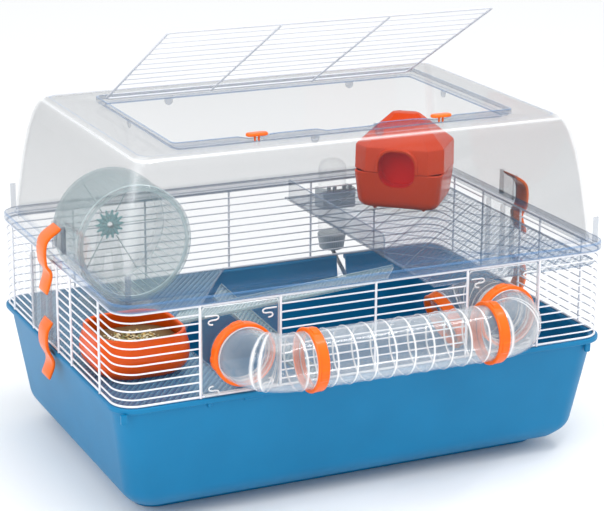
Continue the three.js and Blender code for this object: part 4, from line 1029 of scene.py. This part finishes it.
front_y, back_y = wheel_low[1], wheel_high[1]
wheel_rows = [
    (wheel_row(5 * MM, back_y - 6 * MM), 0, 0), (wheel_row(12 * MM, back_y - 6 * MM), 0.3, 0),
    (wheel_row(13 * MM, back_y - 2.6 * MM), 0.6, 0), (wheel_row(WHEEL - 4 * MM, back_y - 2.4 * MM), 0.1, 0),
    (wheel_row(WHEEL - 2.4 * MM, back_y - 4 * MM, 1.6 * MM), 0.5, 1),
    (wheel_row(WHEEL - 2.4 * MM, front_y + 2.6 * MM, 1.6 * MM), 0.3, 1),
    (wheel_row(WHEEL - 8.4 * MM, front_y + 2.4 * MM), 0.5, 0),
    (wheel_row(WHEEL - 9 * MM, front_y + 1.8 * MM), 1, 0),
    (wheel_row(WHEEL - 9 * MM, front_y + 0.6 * MM), 1, 0),
    (wheel_row(WHEEL - 8.4 * MM, front_y), 0.8, 0), (wheel_row(WHEEL - 1.4 * MM, front_y), 0.5, 0),
    (wheel_row(WHEEL, front_y + 1.4 * MM), 1, 0), (wheel_row(WHEEL, front_y + 4 * MM), 0.2, 0),
    (wheel_row(WHEEL, back_y - 4 * MM), 0.1, 0), (wheel_row(WHEEL, back_y - 1.4 * MM), 0.8, 0),
    (wheel_row(WHEEL - 1.4 * MM, back_y), 0.7, 0), (wheel_row(10 * MM, back_y), 0.1, 0),
    (wheel_row(5 * MM, back_y), 0.2, 0),
]
wheel_points = np.concatenate([row for row, fold, tread in wheel_rows])
wheel = piece("wheel_drum", (wheel_points, grid_faces(len(wheel_rows), len(turn), wrap_rows=True)),
              wheel_finish, "wheel", ["wheel"], sharp=0.6)
mark(wheel, "fold", np.concatenate([np.maximum(fold, tread * rung) for row, fold, tread in wheel_rows]))

star_turn = np.linspace(0, 2 * np.pi, 168, endpoint=False)
star_reach = (15 + 7 * np.abs(np.cos(star_turn * 7)) ** 3) * MM
star_loops = []
for share, y in ((0.25, back_y - 3.4 * MM), (1.0, back_y - 3.4 * MM), (0.96, back_y - 5 * MM),
                 (0.25, back_y - 7 * MM)):
    star_loops.append(np.column_stack([wheel_centre[0] + share * star_reach * np.cos(star_turn),
                                       np.full(168, y),
                                       wheel_centre[2] + share * star_reach * np.sin(star_turn)]))
star = piece("wheel_star_boss", loft(star_loops, wraps=True), wheel_finish, "wheel")
mark(star, "star", np.full(len(star.data.vertices), 1.0))
spokes = []
for angle in np.arange(6) / 6 * 2 * np.pi:
    ends = [(wheel_centre[0] + r * math.cos(angle), back_y - 2.6 * MM,
             wheel_centre[2] + r * math.sin(angle))
            for r in (20 * MM, WHEEL - 4 * MM)]
    spokes.append(wire_tube(ends, 0.9 * MM, up=(0, 1, 0)))
spoke = piece("wheel_back_ribs", merged(spokes), wheel_finish, "wheel")
mark(spoke, "fold", np.full(len(spoke.data.vertices), 0.7))

stand_low, stand_high = low("wheel_stand"), high("wheel_stand")
post_y = (stand_high[1] - 6 * MM, stand_high[1])
post_outline = np.array([(-30, 0), (-14, 0), (-5, 70), (5, 70), (14, 0), (30, 0), (11, 124), (7, 128),
                         (-7, 128), (-11, 124)]) * MM
stand_z = (stand_high[2] - stand_low[2]) / (128 * MM)
post_loops = [np.column_stack([wheel_centre[0] + post_outline[:, 0], np.full(10, y),
                               stand_low[2] + post_outline[:, 1] * stand_z])
              for y in post_y]
foot_plate = slab((stand_low[0], stand_low[1], stand_low[2]),
                  (stand_high[0], stand_high[1], stand_low[2] + 5 * MM), 2 * MM)
axle = loft([np.column_stack([wheel_centre[0] + r * np.cos(star_turn), np.full(168, y),
                              wheel_centre[2] + r * np.sin(star_turn)])
             for r, y in ((3.6 * MM, back_y - 15 * MM), (4 * MM, back_y - 14 * MM),
                          (4 * MM, post_y[0] + 1 * MM))])
stand_finish = clear_moulded("polystyrene_clear_stand_moulded", "#9dbabf", 0.05, 0.34,
                             marks=(("fold", "#cfe2e4", 0.5),))
stand = piece("wheel_stand_frame", merged([loft(post_loops), foot_plate, axle]), stand_finish, "tray",
              ["wheel_stand"])
mark(stand, "fold", np.full(len(stand.data.vertices), 0.05))

# ---------------------------------------------------------------- bowl and seed
# Deep orange-red polypropylene bowl with rounded square walls, a rolled lip and a shallow foot, full of a
# mix of husks and grains in seven shades.
bowl_finish = moulded("polypropylene_brick_orange_gloss_moulded", "#dc4e08", "#e65c10", 0.24, ior=1.26,
                      coat=0.2)
bowl_centre = middle("bowl")[:2]
bowl_base = low("bowl")[2]
bowl_profile = filleted(
    [(50, 0), (14, 0), (3, 12), (0, 30), (6, 52), (6, 56), (10.5, 56), (10.5, 52), (3.4, 30),
     (6.2, 12), (16, 3), (50, 3)],
    [4, 6, 10, 8, 1.6, 2, 2, 4, 8, 6, 4])


def bowl_row(inset_mm, height_mm):
    """A rounded square round the bowl, tighter in the corners as it moves in."""
    half = (67 - inset_mm) * MM
    return round_loop(half, half, max(44 - 0.6 * inset_mm, 8) * MM, bowl_base + height_mm * MM, bowl_centre,
                      14)


piece("food_bowl", loft([bowl_row(i, h) for i, h in bowl_profile]), bowl_finish, "bowl", ["bowl"])

seed_finish, seed_tree, seed_shader, seed_place = blank_material("seed_husk_mixed_dry")
seed_kind = add_node(seed_tree, "ShaderNodeAttribute", attribute_name="kind").outputs["Fac"]
seed_ramp = add_node(seed_tree, "ShaderNodeValToRGB", None, {"Fac": seed_kind})
seed_ramp.color_ramp.interpolation = "CONSTANT"
seed_ramp.color_ramp.elements[0].color = linear("#9a8350")
seed_ramp.color_ramp.elements[1].position = 0.2
seed_ramp.color_ramp.elements[1].color = linear("#d8caa0")
for position, shade in ((0.45, "#6f5a36"), (0.6, "#8b8a5c"), (0.72, "#c3a05a"), (0.85, "#efe7cf"),
                        (0.94, "#4a3c28")):
    seed_ramp.color_ramp.elements.new(position).color = linear(shade)
seed_streak = add_node(seed_tree, "ShaderNodeTexNoise", {"Scale": 900.0, "Detail": 3.0},
                       {"Vector": seed_place}).outputs["Fac"]
seed_mix = add_node(seed_tree, "ShaderNodeMixRGB", {"Fac": 0.35},
                    {"Color1": seed_ramp.outputs["Color"], "Color2": seed_streak},
                    blend_type="OVERLAY")
seed_tree.links.new(seed_mix.outputs[0], seed_shader.inputs["Base Color"])
seed_shader.inputs["Roughness"].default_value = 0.65
seed_bump = add_node(seed_tree, "ShaderNodeBump", {"Strength": 0.4, "Distance": 0.2 * MM},
                     {"Height": seed_streak})
seed_tree.links.new(seed_bump.outputs["Normal"], seed_shader.inputs["Normal"])

rng = np.random.default_rng(11)
SEEDS, SEED_REACH = 900, 54 * MM
seed_rise = high("seed_mix")[2] - 3 * MM
ball_faces = [(0, 2, 4), (2, 1, 4), (1, 3, 4), (3, 0, 4), (2, 0, 5), (1, 2, 5), (3, 1, 5), (0, 3, 5)]
ball = np.array([(1, 0, 0), (-1, 0, 0), (0, 1, 0), (0, -1, 0), (0, 0, 1), (0, 0, -1)], dtype=float)


def split_faces(points, faces):
    """Cuts each triangle in four at its edges' middles and pushes the new points out to the unit ball."""
    points, out, made = [tuple(p) for p in points], [], {}
    for a, b, c in faces:
        middles = []
        for i, j in ((a, b), (b, c), (c, a)):
            key = (min(i, j), max(i, j))
            if key not in made:
                half = (np.array(points[i]) + np.array(points[j])) / 2
                made[key] = len(points)
                points.append(tuple(half / np.linalg.norm(half)))
            middles.append(made[key])
        out += [(a, middles[0], middles[2]), (middles[0], b, middles[1]), (middles[2], middles[1], c),
                tuple(middles)]
    return np.array(points), out


ball, ball_faces = split_faces(ball, ball_faces)
grains, kinds = [], []
for _ in range(SEEDS):
    distance, angle = SEED_REACH * math.sqrt(rng.random()), rng.random() * 2 * math.pi
    squash = 1 - 0.1 * math.cos(4 * angle)
    x, y = distance * math.cos(angle) * squash, distance * math.sin(angle) * squash
    height = seed_rise - 9 * MM * (distance / SEED_REACH) ** 2 + rng.normal(0, 0.9) * MM
    length, width = rng.uniform(2.2, 5.0) * MM, rng.uniform(1.2, 2.0) * MM
    spin, tip = rng.random() * math.pi, rng.normal(0, 0.35)
    turned_ball = Matrix.Rotation(spin, 3, "Z") @ Matrix.Rotation(tip, 3, "Y")
    grain = ball * (length, width, width * 0.8) @ np.array(turned_ball).T
    grains.append((grain + (bowl_centre[0] + x, bowl_centre[1] + y, height), ball_faces))
    kinds += [rng.random()] * len(ball)
seeds = piece("seed_grains", merged(grains), seed_finish, "bowl", ["seed_mix"])
mark(seeds, "kind", kinds)
bed = piece("seed_bed", loft([bowl_row(i, h) for i, h in ((18, 4), (7, 12), (4.4, 28), (8, 34), (30, 36))]),
            seed_finish, "bowl")
mark(bed, "kind", np.full(len(bed.data.vertices), 0.5))

# ---------------------------------------------------------------- house
# Orange-red polypropylene house in two mouldings: a tub with round corners and a hood with chamfered
# corners and a sloping roof, closed along a seam through the door. A raised arch frames the top of the door,
# a lining paints the inside a deep red, the painted glow of light through the red walls, and four pegs stand
# under the tub.
house_finish = moulded("polypropylene_brick_red_house_moulded", "#d03a0a", "#da4714", 0.24, ior=1.24,
                       coat=0.15)
# The lining's saturated red is painted light: it stands for light shining through the red walls.
painted_glow_lining_finish = moulded("polypropylene_brick_red_house_inside_painted_glow", "#d60a02", "#e41004", 0.5, ior=1.1,
                        grain_mm=1.5)
HOUSE_TURN = math.radians(-40)
house_centre = np.array([(low("house_lower")[0] + high("house_lower")[0]) / 2,
                         (low("house_lower")[1] + high("house_lower")[1]) / 2])
house_base = low("house_lower")[2] + 4 * MM


def in_house(points):
    """Turns points from the house's own frame, door towards -Y, to where it stands."""
    points = np.asarray(points, dtype=float)
    c, s = math.cos(HOUSE_TURN), math.sin(HOUSE_TURN)
    x = house_centre[0] + points[:, 0] * c - points[:, 1] * s
    y = house_centre[1] + points[:, 0] * s + points[:, 1] * c
    return np.column_stack([x, y, house_base + points[:, 2]])


def house_row(inset, height, cut_mm=16, steps=6):
    """A level line round the house; few steps give a flat chamfer at each corner, many a round one."""
    half_x, half_y = (67 - inset) * MM, (57 - inset) * MM
    return in_house(round_loop(half_x, half_y, min(cut_mm * MM, 0.9 * half_y), height * MM, steps=steps))


DOOR_Z = 62 * MM


def door_radius(turn):
    """The door's line, a rounded square: a circle whose radius swells by 9 percent towards its diagonals,
    as the sine of twice the angle to the power one and a half."""
    return 27.5 * (1 + 0.09 * np.abs(np.sin(2 * turn)) ** 1.5) * MM


def door_outline(y, count=40):
    """The door's line at depth y in the house's own frame."""
    turn = np.arange(count) / count * 2 * np.pi
    radius = door_radius(turn)
    return in_house(np.column_stack([radius * np.cos(turn), np.full(count, y),
                                     DOOR_Z + radius * np.sin(turn)]))


tub_rows = [(17, 0), (10.5, 2.5), (6.5, 8), (5, 14), (0.6, 55), (1.4, 56), (3.2, 56), (8, 15), (17, 3)]
tub = piece("house_tub", loft([house_row(inset, height) for inset, height in tub_rows]), house_finish,
            "house", ["house_lower"])
hood_rows = [(3.2, 56.6), (0.8, 56.6), (0, 57.6), (0.4, 90), (1.2, 93.5), (3.6, 96.6), (8, 100.6),
             (44, 134.4), (47, 137), (51, 138)]
hood_shell = [house_row(i, h, 20 - 0.28 * i, 1) for i, h in hood_rows]
hood_shell += [house_row(51, 134.5, 5, 1), house_row(10, 98, 16, 1), house_row(3.6, 90, 18, 1)]
hood_points, hood_faces = loft(hood_shell, wraps=True)
# One face closes the roof outside and one inside, in place of the strip between those two rows.
row_size = len(hood_shell[0])
LAST = len(hood_rows) - 1
hood_faces.append(tuple(range(LAST * row_size, (LAST + 1) * row_size)))
hood_faces.append(tuple(range((LAST + 1) * row_size, (LAST + 2) * row_size))[::-1])
hood_faces = [face for face in hood_faces
              if not (len(face) == 4 and min(face) >= LAST * row_size
                      and max(face) < (LAST + 2) * row_size)]
hood = piece("house_hood", (hood_points, hood_faces), house_finish, "house", ["house_upper"],
             sharp=0.3)


def door_cutter():
    """A long plug with the door's outline, used to cut both shells and the lining."""
    points, faces = loft([door_outline(y) for y in (-90 * MM, -30 * MM)])
    mesh = bpy.data.meshes.new("door_cutter")
    mesh.from_pydata(points.tolist(), [], faces)
    face_outward(mesh)
    tool = bpy.data.objects.new("door_cutter", mesh)
    bpy.context.collection.objects.link(tool)
    return tool


cut_out(tub, door_cutter())
cut_out(hood, door_cutter())
arch_section = [(0.0, -57.5), (0.4, -59.5), (3.4, -59.8), (4.6, -58.6), (5.2, -56.0), (0.0, -55.0)]
arch_loops = []
for turn_at in np.linspace(-0.14, math.pi + 0.14, 40):
    radius = door_radius(turn_at)
    arch_loops.append(in_house([((radius + out * MM) * math.cos(turn_at), y * MM,
                                 DOOR_Z + (radius + out * MM) * math.sin(turn_at))
                                for out, y in arch_section]))
piece("house_door_arch", loft(arch_loops), house_finish, "house")
lining_rows = [house_row(20, 3.6, 26, 1), house_row(11, 15, 26, 1), house_row(5, 56, 26, 1),
               house_row(5.2, 88, 26, 1), house_row(46, 129, 10, 1)]
lining = piece("house_painted_glow_lining", loft(lining_rows), painted_glow_lining_finish, "house")
cut_out(lining, door_cutter())
pegs = []
for px, py in ((37, 31), (-37, 31), (-37, -31), (37, -31)):
    pegs.append(loft([in_house(round_loop(r * MM, r * MM, r * MM * 0.99, z * MM, (px * MM, py * MM), 5))
                      for r, z in ((2.2, -4), (3, -3), (3, 1))]))
piece("house_pegs", merged(pegs), house_finish, "house")

# ---------------------------------------------------------------- water bottle
# Thin clear bottle upside down behind the bars, with a grey ribbed screw cap, a slanting stainless spout
# and a grey strap that hooks on the band.
bottle_finish = clear_moulded("polystyrene_clear_bottle_blown", "#8d98a2", 0.03, 0.3,
                              marks=(("fold", "#c9d0d6", 0.5),))
grey_finish = moulded("polypropylene_grey_satin_moulded", "#98a1a7", "#a9b1b6", 0.38)
steel_finish, steel_tree, steel_shader, steel_place = blank_material("steel_stainless_drawn_tube")
steel_shader.inputs["Metallic"].default_value = 1.0
steel_brush = add_node(steel_tree, "ShaderNodeTexNoise", {"Scale": 700.0, "Detail": 4.0},
                       {"Vector": steel_place}).outputs["Fac"]
steel_tone = add_node(steel_tree, "ShaderNodeValToRGB", None, {"Fac": steel_brush})
steel_tone.color_ramp.elements[0].color = linear("#6d7074")
steel_tone.color_ramp.elements[1].color = linear("#a4a7ab")
steel_tree.links.new(steel_tone.outputs["Color"], steel_shader.inputs["Base Color"])
steel_rough = add_node(steel_tree, "ShaderNodeMapRange", {"To Min": 0.2, "To Max": 0.36},
                       {"Value": steel_brush})
steel_tree.links.new(steel_rough.outputs["Result"], steel_shader.inputs["Roughness"])
bottle_centre = middle("bottle")
bottle_low = low("bottle")[2]


GRIP_FROM = 18 * MM


def revolved(profile, centre, sides=48, ripple=0.0, count=0):
    """An upright profile of (radius, height) turned round the centre. Where the radius is over 18 mm, a
    ripple cuts count vertical grips, as half of one less the cosine of count times the angle."""
    angle = np.arange(sides) / sides * 2 * np.pi
    wave = 0.5 - 0.5 * np.cos(angle * count)
    rows = []
    for radius, z in profile:
        r = radius - ripple * wave * (radius > GRIP_FROM)
        rows.append(np.column_stack([centre[0] + r * np.cos(angle), centre[1] + r * np.sin(angle),
                                     np.full(sides, z)]))
    return loft(rows)


glass_profile = filleted(
    [(2, 0), (17, 0), (22, 5), (22, 84), (21, 87), (22, 90), (22, 108), (15, 118), (2, 118)],
    [3, 4, 2, 2, 2, 4, 9]) * MM
glass_profile[:, 1] += bottle_low
bottle = piece("bottle_body", revolved(glass_profile, bottle_centre), bottle_finish, "bottle", ["bottle"])
mark(bottle, "fold", np.full(len(bottle.data.vertices), 0.12))
cap_low, cap_high = low("bottle_cap")[2], high("bottle_cap")[2]
cap_profile = [(0.004, cap_low), (0.0176, cap_low), (0.019, cap_low + 1.4 * MM),
               (0.0216, cap_high - 5 * MM), (0.022, cap_high - 4 * MM),
               (0.022, cap_high - 0.8 * MM), (0.0212, cap_high), (0.004, cap_high)]
piece("bottle_screw_cap", revolved(cap_profile, bottle_centre, 144, 0.7 * MM, 36), grey_finish, "bottle",
      ["bottle_cap"])
spout_low, spout_high = low("bottle_nozzle"), high("bottle_nozzle")
spout_top = np.array([bottle_centre[0], bottle_centre[1], spout_high[2]])
spout_tip = np.array([bottle_centre[0], spout_low[1] + 4 * MM, spout_low[2] + 3 * MM])
reach = np.linspace(0, 1, 20)[:, None]
spout_line = spout_top + (spout_tip - spout_top) * reach
piece("bottle_spout", wire_tube(spout_line, 3.2 * MM, 20, up=(1, 0, 0)), steel_finish, "bottle",
      ["bottle_nozzle"])
strap_low, strap_high = low("bottle_bracket"), high("bottle_bracket")
STRAP_BORE = 0.0232
strap_back = bottle_centre[1] + 3 * MM
angle = np.linspace(math.radians(-10), math.radians(-170), 30)
cradle = np.column_stack([bottle_centre[0] + STRAP_BORE * np.cos(angle),
                          bottle_centre[1] + STRAP_BORE * np.sin(angle)])
outer = np.array([(strap_high[0], strap_back), (strap_high[0], strap_low[1] + 2 * MM),
                  (strap_high[0] - 2 * MM, strap_low[1]), (strap_low[0] + 2 * MM, strap_low[1]),
                  (strap_low[0], strap_low[1] + 2 * MM), (strap_low[0], strap_back)])
band_outline = np.vstack([outer, [(bottle_centre[0] - STRAP_BORE, strap_back)], cradle[::-1],
                          [(bottle_centre[0] + STRAP_BORE, strap_back)]])
strap_loops = [np.column_stack([band_outline, np.full(len(band_outline), z)])
               for z in (strap_low[2], strap_high[2])]
hooks = [slab((bottle_centre[0] + dx * MM - 2.5 * MM, strap_low[1] - 1 * MM, strap_high[2] - 4 * MM),
              (bottle_centre[0] + dx * MM + 2.5 * MM, strap_low[1] + 4 * MM, strap_high[2] + 6 * MM))
         for dx in (-18, -8, 8, 18)]
piece("bottle_strap", merged([loft(strap_loops)] + hooks), grey_finish, "band", ["bottle_bracket"])
